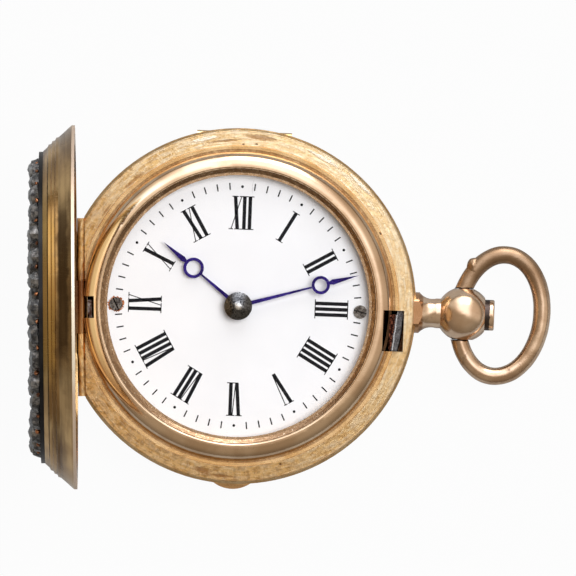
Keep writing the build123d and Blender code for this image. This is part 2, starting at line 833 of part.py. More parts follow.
def front_cover():
    rim_top = cover_bottom + cover_rim_height
    inner_top = cover_top - cover_wall
    flange_top = cover_bottom + cover_flange_height
    cone_radius = cover_radius - cover_face_radius
    cone_height = cover_top - rim_top
    outline = [(0, inner_top), (cover_face_radius - cover_wall, inner_top)]
    outline += [
        (cover_radius - cover_wall, rim_top),
        (cover_radius - cover_wall, flange_top),
        (cover_flange_radius, flange_top),
        (cover_flange_radius, cover_bottom),
        (cover_radius, cover_bottom),
        (cover_radius, rim_top),
    ]
    spread = (reed_end_share - reed_start_share) / reed_count
    for reed in range(reed_count):
        start = reed_start_share + spread * reed
        for share, height in ((start, 0), (start + spread / 2, reed_height)):
            outline.append((
                cover_radius - cone_radius * share + height,
                rim_top + cone_height * share + height,
            ))
    outline.append((cover_radius - cone_radius * reed_end_share, rim_top + cone_height * reed_end_share))
    outline += [(cover_face_radius, cover_top), (0, cover_top)]
    shape = turned(*outline)

    # web over the hinge, joined to the knuckle by a narrow lug
    half_lid = front_lid_knuckle / 2
    half_hinge = front_hinge_length / 2
    web_edge = -front_hinge_reach + seat_gap
    web = disc(cover_radius - cover_wall, cover_bottom, flange_top)
    shape += web & block((-case_radius, web_edge), (-case_radius, case_radius), (cover_bottom, flange_top))
    for near, far in both_sides(half_lid, half_hinge + overrun):
        shape -= front_hinge_rod(knuckle_relief, near, far)
    shape += front_hinge_rod(knuckle_radius, -half_lid, half_lid)
    shape += block(
        (-front_hinge_reach - knuckle_radius, web_edge), (-half_lid, half_lid),
        (front_hinge_level, flange_top),
    )
    shape -= front_hinge_rod(hinge_pin_radius + running_gap, -half_lid - overrun, half_lid + overrun)
    return opened(shape)


def cover_enamel():
    return opened(disc(enamel_radius, cover_top, enamel_top))


def stone_places():
    # rings of stones set close, with one larger stone in the middle
    outer_row = stone_field_radius - stone_pitch / 2
    places = [((0, 0), centre_stone_radius)]
    for row in range(stone_rows):
        reach = outer_row - row * stone_pitch
        count = math.floor(2 * math.pi * reach / stone_pitch)
        for stone in range(count):
            angle = 360 * (stone + row / 2) / count
            places.append((along(centre_at, angle, reach), (stone_pitch - collet_gap) / 2))
    return places


def tapered_disc(bottom_radius, top_radius, bottom, top, place):
    base = (Align.CENTER, Align.CENTER, Align.MIN)
    return Pos(place[0], place[1], bottom) * Cone(bottom_radius, top_radius, top - bottom, align=base)


def collet(place, radius):
    top = enamel_top + collet_height
    seat = enamel_top + stone_seat_height
    mouth = radius * collet_taper_share - collet_wall / 2
    body = tapered_disc(radius, radius * collet_taper_share, enamel_top, top, place)
    return body - disc(mouth, seat, top, place)


def rose_stone(place, radius):
    # flat-backed stone: a girdle, a steep band of facets and a low crown
    girdle = radius * collet_taper_share - collet_wall / 2 - running_gap
    bottom = enamel_top + stone_seat_height
    shoulder = bottom + stone_height * stone_crown_share
    low = Pos(place[0], place[1], bottom) * RegularPolygon(girdle, stone_sides)
    middle = Pos(place[0], place[1], shoulder) * RegularPolygon(girdle * stone_girdle_share, stone_sides)
    tip = Vertex(place[0], place[1], bottom + stone_height)
    return loft([low, middle], ruled=True) + loft([middle, tip], ruled=True)


def stone_collets():
    return opened(Compound([collet(place, radius) for place, radius in stone_places()]))


def cover_stones():
    return opened(Compound([rose_stone(place, radius) for place, radius in stone_places()]))


# Back cover and dust cover
def back_cover():
    shape = turned(
        (0, 0),
        (back_face_radius, 0),
        (case_radius, back_height),
        (case_radius - rim_seat_width, back_height),
        (back_face_radius - cover_wall, cover_wall),
        (0, cover_wall),
    )
    # thumb lip: a crescent beyond the rim, as wide as its length where it leaves the rim
    half_lip = lip_length / 2
    lip_rise = case_radius + lip_reach - math.sqrt(case_radius ** 2 - half_lip ** 2)
    lip_round = (half_lip ** 2 + lip_rise ** 2) / (2 * lip_rise)
    lip_levels = (back_height - lip_height, back_height)
    lip = disc(lip_round, *lip_levels, (0, lip_round - case_radius - lip_reach))
    shape += lip & ring(case_radius + lip_reach, case_radius - rim_seat_width / 2, *lip_levels)
    half_cover = back_cover_knuckle / 2
    half_back = back_hinge_length / 2
    for near, far in both_sides(half_cover, half_back + overrun):
        shape -= back_hinge_rod(knuckle_relief, near, far)
    shape += back_hinge_rod(knuckle_radius, -half_cover, half_cover)
    lug = (back_hinge_reach - knuckle_radius + seat_gap, back_hinge_reach + knuckle_radius)
    shape += block((-half_cover, half_cover), lug, (back_height - cover_wall, back_hinge_level))
    return shape - back_hinge_rod(hinge_pin_radius + running_gap, -half_back, half_back)


def cuvette():
    rim_top = band_bottom - side_gap
    wall = cuvette_thickness
    shape = turned(
        (0, cuvette_bottom),
        (cuvette_face_radius, cuvette_bottom),
        (cuvette_rim_radius, rim_top),
        (cuvette_rim_radius - wall, rim_top),
        (cuvette_face_radius - wall, cuvette_top),
        (0, cuvette_top),
    )
    half_inner = cuvette_knuckle / 2
    tab = (cuvette_rim_radius - wall, cuvette_hinge_reach)
    shape += cuvette_hinge_rod(cuvette_knuckle_radius, -half_inner, half_inner)
    shape += block(
        (-half_inner, half_inner), tab,
        (cuvette_hinge_level - cuvette_knuckle_radius, cuvette_hinge_level + cuvette_pin_radius),
    )
    half_cuvette = cuvette_hinge_length / 2
    for near, far in both_sides(half_inner, half_cuvette + seat_gap):
        shape -= cuvette_hinge_rod(cuvette_knuckle_radius + seat_gap, near, far)
    shape -= cuvette_hinge_rod(cuvette_pin_radius + running_gap, -half_cuvette, half_cuvette)
    for place in (centre_at, barrel_at):
        shape -= disc(key_hole_radius, cuvette_bottom, cuvette_top, place)
    return shape


# Pendant, push piece and bow
def pendant():
    start = lock_pocket_outer_radius + seat_gap
    flange_end = case_radius + flange_height
    joint = ball_reach - math.sqrt(ball_radius ** 2 - neck_radius ** 2)
    edges = [
        Line((start, 0), (start, flange_radius)),
        Line((start, flange_radius), (flange_end, flange_radius)),
        ThreePointArc(
            (flange_end, flange_radius), (neck_shoulder, neck_shoulder_radius), (neck_reach, neck_radius),
        ),
        Line((neck_reach, neck_radius), (joint + overrun, neck_radius)),
        Line((joint + overrun, neck_radius), (joint + overrun, 0)),
        Line((joint + overrun, 0), (start, 0)),
    ]
    neck = revolve(make_face(edges), Axis.X)
    room = (band_bottom + seat_gap - axis_level, seat_level - ring_fall - seat_gap - axis_level)
    neck &= block((0, ball_reach), (-ball_radius, ball_radius), room)
    ball = Pos(ball_reach, 0, 0) * Sphere(ball_radius)
    ball &= block(
        (ball_reach - ball_radius, ball_reach + ball_face),
        (-ball_flat, ball_flat),
        (-ball_radius, ball_radius),
    )
    shape = Pos(0, 0, axis_level) * (neck + ball) - band_body()
    place = (0, 0, axis_level)
    face = ball_reach + ball_face
    shape -= rod(push_stem_radius + running_gap, start - overrun, face, "x", place)
    shape -= rod(push_radius + running_gap, face - counterbore_depth, face + overrun, "x", place)
    hole = rod(bow_pin_radius + running_gap, -ball_radius, ball_radius, "y", (ball_reach, 0, axis_level))
    return shape - hole


def push_piece():
    face = ball_reach + ball_face
    head_start = face - counterbore_depth + push_travel + seat_gap
    place = (0, 0, axis_level)
    head = rod(push_radius, head_start, face + push_proud, "x", place)
    head = fillet(head.edges().filter_by(GeomType.CIRCLE).sort_by(Axis.X)[-1], push_edge)
    return head + rod(push_stem_radius, lock_outer_radius + seat_gap, head_start, "x", place)


def bow():
    # four-centre oval: each part is a stretch of a torus
    half_x = bow_half_width
    half_y = bow_half_length
    small = bow_end_radius
    large = (half_x ** 2 + (half_y - small) ** 2 - small ** 2) / (2 * (half_x - small))
    corner = math.degrees(math.atan2(half_y - small, large - half_x))
    pin_angle = 180 - math.degrees(math.asin((ball_flat - bow_wire_radius / 2) / large))
    stretches = [((half_x - large, 0), large, -corner, corner)]
    for side in (1, -1):
        turn = 180 - 2 * corner
        start = corner if side > 0 else -corner - turn
        stretches.append(((0, side * (half_y - small)), small, start, start + turn))
    stretches.append(((large - half_x, 0), large, 180 - corner, pin_angle))
    stretches.append(((large - half_x, 0), large, -pin_angle, corner - 180))
    shape = None
    for centre, radius, start, end in stretches:
        section = Plane.XZ * Pos(radius, 0) * Circle(bow_wire_radius)
        arc = Pos(bow_reach + centre[0], centre[1], axis_level) * Rot(0, 0, start) * revolve(
            section, Axis.Z, end - start,
        )
        shape = arc if shape is None else shape + arc
    end_face = ball_flat + seat_gap
    shape -= block(
        (ball_reach - ball_radius, ball_reach + ball_radius), (-end_face, end_face),
        (axis_level - ball_radius, axis_level + ball_radius),
    )
    for side in (1, -1):
        near, far = sorted((side * bow_pin_end, side * (end_face + bow_wire_radius / 2)))
        shape += rod(bow_pin_radius, near, far, "y", (ball_reach, 0, axis_level))
    return shape


# Springs in the case band
def lock_spring():
    bottom = lock_strip_bottom
    top = bottom + lock_strip_height
    inner = lock_outer_radius - lock_strip_width
    shape = sector(lock_outer_radius, inner, lock_pivot_angle, lock_strip_end_angle, bottom, top)
    shape += disc(spring_eye_radius, bottom, bottom + spring_eye_height, lock_pivot())
    catch_top = cover_bottom + catch_rise
    catch_sides = (catch_low_side, catch_high_side)
    stem_radius = cover_flange_radius - seat_gap
    nose_radius = stem_radius + catch_nose_reach
    for radius, low in ((stem_radius, top - lock_strip_width), (nose_radius, catch_top - catch_nose_height)):
        catch = block((catch_inner_reach, case_radius), catch_sides, (low, catch_top))
        shape += catch & disc(radius, low, catch_top)
    hole = disc(spring_screw_radius + running_gap, bottom, top, lock_pivot())
    clear = disc(spring_eye_radius, bottom + spring_eye_height, top, lock_pivot())
    return shape - hole - clear


def lift_spring():
    bottom = lock_strip_bottom
    top = bottom + lift_strip_height
    outer = lift_inner_radius + lift_strip_width
    tip_angle = 180 + front_hinge_turn
    shape = sector(outer, lift_inner_radius, tip_angle, lift_pivot_angle(), bottom, top)
    shape += disc(spring_eye_radius, bottom, bottom + spring_eye_height, lift_pivot())
    tip = block(
        (-lift_tip_reach, -lift_inner_radius), (-lift_tip_half_width, lift_tip_half_width),
        (bottom, front_hinge_level + side_gap),
    )
    shape += front_turn(tip)
    hole = disc(spring_screw_radius + running_gap, bottom, top, lift_pivot())
    clear = disc(spring_eye_radius, bottom + spring_eye_height, top, lift_pivot())
    return shape - hole - clear


def case_spring_screws():
    head_top = lock_strip_bottom - seat_gap
    length = pocket_roof + spring_screw_grip - head_top
    one = screw(
        spring_screw_head_radius, spring_screw_head_height, spring_screw_radius, length, lock_pivot_angle,
    )
    places = (lock_pivot(), lift_pivot())
    return Compound([Pos(place[0], place[1], head_top) * one for place in places])


# Movement: plate, bridges and their screws
def bridge_plan():
    # start, direction, run, foot, width, bottom and top of each bar
    full = (bridge_bottom, bridge_top)
    low = (escape_cock_bottom, escape_cock_top)
    barrel = (barrel_bridge_run, barrel_bridge_foot, barrel_bridge_width)
    return {
        "barrel_right": (barrel_at, 0, *barrel, *full),
        "barrel_left": (barrel_at, 180, *barrel, *full),
        "centre": (
            centre_at, centre_bridge_direction,
            centre_bridge_run, centre_bridge_foot, centre_bridge_width, *full,
        ),
        "third": (
            third_at, third_bridge_direction,
            third_bridge_run, third_bridge_foot, third_bridge_width, *full,
        ),
        "fourth": (
            fourth_at, fourth_bridge_direction,
            fourth_bridge_run, fourth_bridge_foot, fourth_bridge_width, *full,
        ),
        "balance": (
            balance_at, balance_cock_direction,
            balance_cock_run, balance_cock_foot, balance_cock_width, *full,
        ),
        "escape": (
            escape_at, escape_cock_direction,
            escape_cock_run, escape_cock_foot, escape_cock_width, *low,
        ),
    }


def screw_place(name):
    start, direction, run, foot, width = bridge_plan()[name][:5]
    return along(start, direction, (run + foot + width / 4) / 2)


def bridge_bar(name, hole_radius):
    start, direction, run, foot, width, bottom, top = bridge_plan()[name]
    half = width / 2
    bar = disc(half, bottom, top) + block((0, run), (-half, half), (bottom, top))
    bar += disc(half, bottom, plate_bottom, (run, 0))
    bar += block((foot, run), (-half, half), (bottom, plate_bottom))
    shape = at_place(start, Rot(0, 0, direction) * bar)
    shape -= disc(hole_radius, bottom, top, start)
    shape -= disc(bridge_screw_radius, bottom, plate_bottom, screw_place(name))
    if name == "escape":
        shape -= disc(flush_head_radius, bottom, bottom + flush_head_height, screw_place(name))
    return shape


def barrel_bridge():
    hole = barrel_arbor_radius + running_gap
    shape = bridge_bar("barrel_right", hole) + bridge_bar("barrel_left", hole)
    return shape - disc(click_screw_radius, bridge_bottom, bridge_top, click_place())


def centre_bridge():
    return bridge_bar("centre", centre_tube_radius + running_gap)


def third_bridge():
    return bridge_bar("third", pivot_radius + running_gap)


def fourth_bridge():
    return bridge_bar("fourth", pivot_radius + running_gap)


def escape_cock():
    return bridge_bar("escape", pivot_radius + running_gap)


def balance_cock():
    shape = bridge_bar("balance", jewel_radius)
    return shape - disc(end_piece_radius, bridge_bottom, bridge_bottom + shake, balance_at)


def bridge_screws():
    # round-headed screws on the bars, one flush head under the balance, and the click's screw
    screws = []
    for turn, name in enumerate(bridge_plan()):
        place = screw_place(name)
        slot_turn = turn * 360 / escape_leaves
        if name == "escape":
            head_top = escape_cock_bottom + flush_head_height
            length = plate_bottom + bridge_screw_grip - head_top
            one = screw(flush_head_radius, flush_head_height, bridge_screw_radius, length, slot_turn)
        else:
            head_top = bridge_bottom
            length = plate_bottom + bridge_screw_grip - head_top
            one = screw(
                bridge_screw_head_radius, bridge_screw_head_height, bridge_screw_radius, length, slot_turn,
            )
        screws.append(Pos(place[0], place[1], head_top) * one)
    place = click_place()
    head_top = index_bottom - shake / 2
    one = screw(
        click_screw_head_radius, click_screw_head_height, click_screw_radius,
        bridge_top - head_top, click_tip_angle,
    )
    screws.append(Pos(place[0], place[1], head_top) * one)
    return Compound(screws)


def jewel(place, bottom, hole):
    return ring(jewel_radius, hole + running_gap, bottom, bottom + jewel_thickness, place)


def jewels():
    # hole stones of the balance in cock and plate, and of the escape wheel in the plate
    return Compound([
        jewel(balance_at, bridge_top - jewel_thickness, staff_pivot_radius),
        jewel(balance_at, plate_bottom, staff_pivot_radius),
        jewel(escape_at, plate_bottom, pivot_radius),
    ])


def main_plate():
    shape = disc(plate_radius, plate_bottom, plate_top)
    recess_radius = minute_reach + minute_teeth * cannon_module / 2 + 2 * cannon_module + side_gap
    shape -= disc(recess_radius, recess_floor, plate_top)
    shape += disc(arbor_radius + shake, recess_floor, minute_wheel_bottom - running_gap, minute_at)
    shape += disc(arbor_radius, recess_floor, plate_top - side_gap, minute_at)
    hole = pivot_radius + running_gap
    deep = plate_bottom + pivot_length + shake
    for place in (third_at, fourth_at):
        shape -= disc(hole, plate_bottom, deep, place)
    for place in (balance_at, escape_at):
        shape -= disc(jewel_radius, plate_bottom, plate_bottom + jewel_thickness, place)
        shape -= disc(hole, plate_bottom, deep + shake, place)
    shape -= disc(centre_tube_radius + running_gap, plate_bottom, plate_top, centre_at)
    foot_depth = recess_floor - shake
    shape -= disc(barrel_foot_pivot_radius + running_gap, plate_bottom, foot_depth, barrel_at)
    for name in bridge_plan():
        shape -= disc(bridge_screw_radius, plate_bottom, plate_bottom + bridge_screw_grip, screw_place(name))
    for angle in (right_dial_screw_angle, left_dial_screw_angle):
        place = along(centre_at, angle, dial_screw_radius)
        shape -= disc(dial_screw_shank_radius, plate_top - dial_screw_grip, plate_top, place)
    for angle in case_screw_angles:
        place = along(centre_at, angle, case_screw_reach)
        shape -= disc(case_screw_radius, plate_bottom, plate_top, place)
    return shape


def case_screws():
    one = Rot(180, 0, 0) * screw(
        case_screw_head_radius, case_screw_head_height, case_screw_radius,
        plate_thickness + case_screw_grip, 0,
    )
    places = [along(centre_at, angle, case_screw_reach) for angle in case_screw_angles]
    return Compound([Pos(place[0], place[1], plate_top) * one for place in places])


# Barrel and winding work
def barrel():
    teeth_bottom = drum_top - drum_tooth_thickness
    toothed = toothed_disc(barrel_teeth, barrel_module, teeth_bottom, drum_top, barrel_direction + 180)
    shape = disc(drum_radius, drum_bottom, drum_top) + toothed
    shape -= disc(drum_radius - drum_wall, drum_bottom, drum_top - drum_floor_thickness)
    return at_place(barrel_at, shape - disc(barrel_arbor_radius + running_gap, drum_bottom, drum_top))


def barrel_cover():
    radius = drum_radius - drum_wall
    hole = barrel_arbor_radius + running_gap
    return ring(radius, hole, drum_bottom, drum_bottom + drum_cover_thickness, barrel_at)


def mainspring():
    inner = barrel_core_radius + mainspring_margin + mainspring_thickness
    outer = drum_radius - drum_wall - mainspring_thickness / 2
    bottom = drum_bottom + drum_cover_thickness + shake
    top = drum_top - drum_floor_thickness - shake
    coil = spiral_ribbon(inner, outer, mainspring_pitch, mainspring_thickness, bottom, top, barrel_direction)
    return at_place(barrel_at, coil)


def square_bar(side, bottom, top):
    return block((-side / 2, side / 2), (-side / 2, side / 2), (bottom, top))


def barrel_arbor():
    core_bottom = drum_bottom + drum_cover_thickness + shake
    core_top = drum_top - drum_floor_thickness - shake
    shape = disc(barrel_arbor_radius, bridge_bottom, drum_top + shake)
    shape += disc(barrel_core_radius, core_bottom, core_top)
    shape += disc(barrel_foot_pivot_radius, drum_top, recess_floor - 2 * shake)
    shape += square_bar(square_side, cuvette_bottom, bridge_bottom)
    return at_place(barrel_at, shape)


def ratchet_wheel():
    points = []
    for tooth in range(ratchet_teeth):
        angle = 360 * tooth / ratchet_teeth
        points.append(along(centre_at, angle, ratchet_radius))
        points.append(along(centre_at, angle, ratchet_radius - ratchet_tooth_depth))
    shape = plate_of(points, index_bottom, index_top) - square_bar(square_side, index_bottom, index_top)
    return at_place(barrel_at, shape)


def click_place():
    return (barrel_at[0] + click_reach, barrel_at[1] - click_drop)


def click():
    place = click_place()
    tip = along(barrel_at, click_tip_angle, ratchet_radius + click_tip_gap)
    points = [
        tip,
        (place[0], place[1] - click_hub_radius / 2),
        (place[0] + click_hub_radius / 2, place[1] + click_hub_radius / 2),
        (tip[0], tip[1] + click_spring_width),
    ]
    shape = plate_of(points, index_bottom, index_top) + disc(click_hub_radius, index_bottom, index_top, place)
    return shape - disc(click_screw_radius + running_gap, index_bottom, index_top, place)


def click_spring():
    level = barrel_at[1] + click_spring_rise
    strip = block(
        (click_spring_near, click_spring_far), (level, level + click_spring_width), (index_bottom, index_top),
    )
    foot_at = (click_spring_far, level)
    return strip + disc(click_spring_foot_radius, index_bottom, bridge_bottom, foot_at)


# Going train
def centre_wheel():
    top = plate_bottom - shake
    shape = wheel(centre_teeth, centre_module, centre_wheel_bottom, third_direction)
    shape += pinion(
        centre_leaves, barrel_module, drum_top - centre_pinion_height, drum_top + shake, barrel_direction,
    )
    shape += disc(centre_tube_radius, bridge_bottom, plate_top - side_gap - motion_recess_depth + shake)
    shape += disc(hub_radius + shake, centre_wheel_bottom - shake, top)
    return shape - disc(centre_bore_radius, bridge_bottom, plate_top)


def third_wheel():
    back = third_direction + 180
    shape = wheel(third_teeth, third_module, third_wheel_bottom, fourth_direction)
    shape += pinion(third_leaves, centre_module, centre_wheel_bottom - shake, third_wheel_bottom, back)
    return at_place(third_at, shape + train_arbor(bridge_top + shake, plate_bottom - shake))


def fourth_wheel():
    back = fourth_direction + 180
    shape = wheel(fourth_teeth, fourth_module, fourth_wheel_bottom, escape_direction)
    shape += pinion(fourth_leaves, third_module, third_wheel_bottom - shake, fourth_wheel_bottom, back)
    return at_place(fourth_at, shape + train_arbor(bridge_top + shake, plate_bottom - shake))


def escape_wheel():
    # flat wheel whose raised teeth stand on pillars, as for a cylinder escapement
    back = escape_direction + 180
    rim_outer = escape_radius - escape_rim_width / 2
    rim_inner = rim_outer - escape_rim_width
    shape = ring(rim_outer, rim_inner, escape_plane_bottom, escape_plane_top)
    shape += disc(hub_radius, escape_plane_bottom, escape_plane_top)
    half = wheel_arm_width / 2
    for arm in range(3):
        bar = block((0, rim_outer - half), (-half, half), (escape_plane_bottom, escape_plane_top))
        shape += Rot(0, 0, 360 * arm / 3) * bar
    tooth_top = escape_tooth_bottom + escape_tooth_height
    middle = (rim_outer + rim_inner) / 2
    for tooth in range(escape_teeth):
        angle = 360 * tooth / escape_teeth
        place = along(centre_at, angle, middle)
        shape += disc(escape_pillar_radius, tooth_top, escape_plane_bottom, place)
        points = [
            along(centre_at, angle - 120 / escape_teeth, middle),
            along(centre_at, angle + 150 / escape_teeth, escape_radius),
            along(centre_at, angle + 90 / escape_teeth, rim_inner + escape_heel_inset),
        ]
        shape += plate_of(points, escape_tooth_bottom, tooth_top)
    shape += pinion(
        escape_leaves, fourth_module, fourth_wheel_bottom - 2 * shake, fourth_wheel_bottom + 3 * shake, back,
    )
    shape += disc(arbor_radius, escape_cock_top + shake, plate_bottom - shake)
    shape += disc(pivot_radius, escape_cock_bottom + shake, escape_cock_top + shake)
    shape += disc(pivot_radius, plate_bottom - shake, plate_bottom + jewel_thickness)
    return at_place(escape_at, shape)


# Motion work and hands
def setting_arbor():
    shape = disc(centre_bore_radius - running_gap, setting_square_bottom, minute_hand_top)
    square_top = setting_square_bottom + setting_square_height
    return shape + square_bar(setting_square_side, setting_square_bottom, square_top)


def cannon_pinion():
    leaves_top = minute_wheel_bottom + wheel_thickness + shake
    shape = pinion(cannon_leaves, cannon_module, cannon_wheel_bottom, leaves_top, minute_direction)
    shape += disc(cannon_radius, cannon_wheel_bottom, minute_hand_bottom)
    return shape - disc(centre_bore_radius - running_gap, cannon_wheel_bottom, minute_hand_bottom)


def minute_wheel():
    back = minute_direction + 180
    shape = wheel(minute_teeth, cannon_module, minute_wheel_bottom, back)
    shape += pinion(
        minute_leaves, hour_module, minute_wheel_bottom + wheel_thickness,
        hour_wheel_bottom + wheel_thickness, back,
    )
    bore = arbor_radius + running_gap
    return at_place(minute_at, shape - disc(bore, minute_wheel_bottom, hour_wheel_bottom + wheel_thickness))


def hour_wheel():
    pipe = cannon_radius + running_gap
    shape = wheel(hour_teeth, hour_module, hour_wheel_bottom, minute_direction)
    shape += disc(pipe + hour_pipe_wall, hour_wheel_bottom, hour_hand_top)
    return shape - disc(pipe, hour_wheel_bottom, hour_hand_top)


def hand(length, ring_reach, ring_radius, direction, bore, bottom, top):
    # boss, tapering shank, open ring and pointed leaf
    shank_end = ring_reach - ring_radius + ring_wire / 2
    leaf_start = ring_reach + ring_radius - ring_wire / 2
    shoulder = leaf_start + (length - leaf_start) * leaf_shoulder_share
    boss_half = shank_boss_width / 2
    ring_half = shank_ring_width / 2
    root_half = leaf_root_width / 2
    leaf_half = leaf_width / 2
    shank = [(0, -boss_half), (shank_end, -ring_half), (shank_end, ring_half), (0, boss_half)]
    leaf = [
        (leaf_start, -root_half), (shoulder, -leaf_half), (length, 0),
        (shoulder, leaf_half), (leaf_start, root_half),
    ]
    shape = disc(hand_boss_radius, bottom, top) + plate_of(shank, bottom, top)
    shape += ring(ring_radius, ring_radius - ring_wire, bottom, top, (ring_reach, 0))
    shape += plate_of(leaf, bottom, top)
    return Rot(0, 0, direction) * (shape - disc(bore, bottom, top))


def hour_hand():
    bore = cannon_radius + running_gap + hour_pipe_wall
    return hand(
        hour_hand_length, hour_ring_reach, hour_ring_radius, hour_hand_direction,
        bore, hour_hand_bottom, hour_hand_top,
    )


def minute_hand():
    bore = centre_bore_radius - running_gap
    return hand(
        minute_hand_length, minute_ring_reach, minute_ring_radius, minute_hand_direction,
        bore, minute_hand_bottom, minute_hand_top,
    )


def centre_cap():
    # polished button over the hands
    dome_start = minute_hand_top + cap_foot_height
    top = minute_hand_top + cap_height
    edges = [
        Line((0, minute_hand_top), (cap_radius, minute_hand_top)),
        Line((cap_radius, minute_hand_top), (cap_radius, dome_start)),
        dome_arc(cap_radius, dome_start, top - dome_start),
        Line((0, top), (0, minute_hand_top)),
    ]
    return revolve(Plane.XZ * make_face(edges), Axis.Z)


# Balance, hairspring and index
def balance_wheel():
    shape = ring(balance_radius, balance_radius - balance_rim_width, balance_bottom, balance_top)
    arm_bottom = balance_top - balance_arm_thickness
    shape += disc(hub_radius, arm_bottom, balance_top)
    half = balance_arm_width / 2
    for arm in range(balance_arms):
        bar = block((0, balance_radius - balance_rim_width / 2), (-half, half), (arm_bottom, balance_top))
        shape += Rot(0, 0, balance_direction + 360 * arm / balance_arms) * bar
    return at_place(balance_at, shape - disc(balance_staff_radius, arm_bottom, balance_top))


def balance_staff():
    # staff with its hollow cylinder, cut away on one side for the escape teeth
    shape = disc(balance_staff_radius, balance_bottom, plate_bottom - shake)
    shape += disc(collet_radius, hairspring_bottom, balance_top - balance_arm_thickness)
    shape += disc(cylinder_radius, balance_top, plate_bottom - shake)
    notch = block(
        (-cylinder_radius, 0), (-cylinder_radius, cylinder_radius),
        (escape_tooth_bottom - shake, escape_plane_top + shake),
    )
    shape -= Rot(0, 0, balance_direction + 180) * notch
    shape += disc(staff_pivot_radius, bridge_top - jewel_thickness, balance_bottom)
    shape += disc(staff_pivot_radius, plate_bottom - shake, plate_bottom + jewel_thickness)
    return at_place(balance_at, shape)


def hairspring():
    coil = spiral_ribbon(
        hairspring_inner_radius, hairspring_outer_radius, hairspring_pitch, hairspring_thickness,
        hairspring_bottom, hairspring_bottom + hairspring_height, balance_cock_direction,
    )
    return at_place(balance_at, coil)


def hairspring_stud():
    start = hairspring_outer_radius + hairspring_thickness / 2
    half = stud_width / 2
    top = hairspring_bottom + hairspring_height
    stud = block((start, start + stud_width), (-half, half), (bridge_top, top))
    return at_place(balance_at, Rot(0, 0, balance_cock_direction) * stud)


def end_piece():
    return disc(end_piece_radius, index_bottom - running_gap, bridge_bottom + shake, balance_at)


def regulator():
    inner = end_piece_radius + running_gap
    outer = inner + index_ring_width
    levels = (index_bottom, index_top)
    half_turn = hairspring_outer_radius - hairspring_pitch / 2
    shape = disc(outer, *levels)
    tail = block((0, index_tail_length), (-index_tail_width / 2, index_tail_width / 2), levels)
    arm_half = index_arm_width / 2
    arm = block((0, half_turn + curb_pin_gap + arm_half), (-arm_half, arm_half), levels)
    shape += Rot(0, 0, balance_cock_direction) * tail
    shape += Rot(0, 0, balance_cock_direction + 180) * arm
    shape -= disc(inner, *levels)
    pin_top = hairspring_bottom + hairspring_height
    for side in (1, -1):
        place = along(centre_at, balance_cock_direction + 180, half_turn + side * curb_pin_gap)
        shape += disc(curb_pin_radius, index_bottom, pin_top, place)
    return at_place(balance_at, shape)


# Dial
def dial_disc(bottom, top):
    shape = ring(dial_radius, dial_hole_radius, bottom, top)
    for angle in (right_dial_screw_angle, left_dial_screw_angle):
        shape -= disc(dial_screw_shank_radius, bottom, top, along(centre_at, angle, dial_screw_radius))
    return shape


def dial_screws():
    shank = dial_top - plate_top + dial_screw_grip
    screws = []
    turns = ((right_dial_screw_angle, right_dial_screw_slot), (left_dial_screw_angle, left_dial_screw_slot))
    for angle, slot_turn in turns:
        place = along(centre_at, angle, dial_screw_radius)
        one = screw(
            dial_screw_head_radius, dial_screw_head_height, dial_screw_shank_radius, shank, -slot_turn,
        )
        screws.append(Pos(place[0], place[1], dial_top) * Rot(180, 0, 0) * one)
    return Compound(screws)


pieces = {
    "case_middle": case_middle(),
    "front_hinge_pin": front_turn(hinge_pin(front_hinge_rod, hinge_pin_radius, front_hinge_length)),
    "back_hinge_pin": hinge_pin(back_hinge_rod, hinge_pin_radius, back_hinge_length),
    "cuvette_hinge_pin": hinge_pin(cuvette_hinge_rod, cuvette_pin_radius, cuvette_hinge_length),
    "case_spring_screws": case_spring_screws(),
    "bezel": bezel(),
    "crystal": crystal(),
    "front_cover": front_cover(),
    "cover_enamel": cover_enamel(),
    "stone_collets": stone_collets(),
    "cover_stones": cover_stones(),
    "back_cover": back_cover(),
    "cuvette": cuvette(),
    "pendant": pendant(),
    "push_piece": push_piece(),
    "bow": bow(),
    "lock_spring": lock_spring(),
    "lift_spring": lift_spring(),
    "main_plate": main_plate(),
    "case_screws": case_screws(),
    "barrel_bridge": barrel_bridge(),
    "centre_bridge": centre_bridge(),
    "third_bridge": third_bridge(),
    "fourth_bridge": fourth_bridge(),
    "escape_cock": escape_cock(),
    "balance_cock": balance_cock(),
    "bridge_screws": bridge_screws(),
    "jewels": jewels(),
    "barrel": barrel(),
    "barrel_cover": barrel_cover(),
    "mainspring": mainspring(),
    "barrel_arbor": barrel_arbor(),
    "ratchet_wheel": ratchet_wheel(),
    "click": click(),
    "click_spring": click_spring(),
    "centre_wheel": centre_wheel(),
    "third_wheel": third_wheel(),
    "fourth_wheel": fourth_wheel(),
    "escape_wheel": escape_wheel(),
    "setting_arbor": setting_arbor(),
    "cannon_pinion": cannon_pinion(),
    "minute_wheel": minute_wheel(),
    "hour_wheel": hour_wheel(),
    "hour_hand": hour_hand(),
    "minute_hand": minute_hand(),
    "centre_cap": centre_cap(),
    "balance_wheel": balance_wheel(),
    "balance_staff": balance_staff(),
    "hairspring": hairspring(),
    "hairspring_stud": hairspring_stud(),
    "end_piece": end_piece(),
    "regulator": regulator(),
    "dial_base": dial_disc(plate_top, dial_base_top),
    "dial_enamel": dial_disc(dial_base_top, dial_top),
    "dial_screws": dial_screws(),
}

os.makedirs("parts", exist_ok=True)
for name, shape in pieces.items():
    export_step(shape, f"parts/{name}.step")
    print(name, round(shape.volume, 3))
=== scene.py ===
import bpy
from math import cos, pi, radians, sin
import random
from mathutils import Matrix, Vector


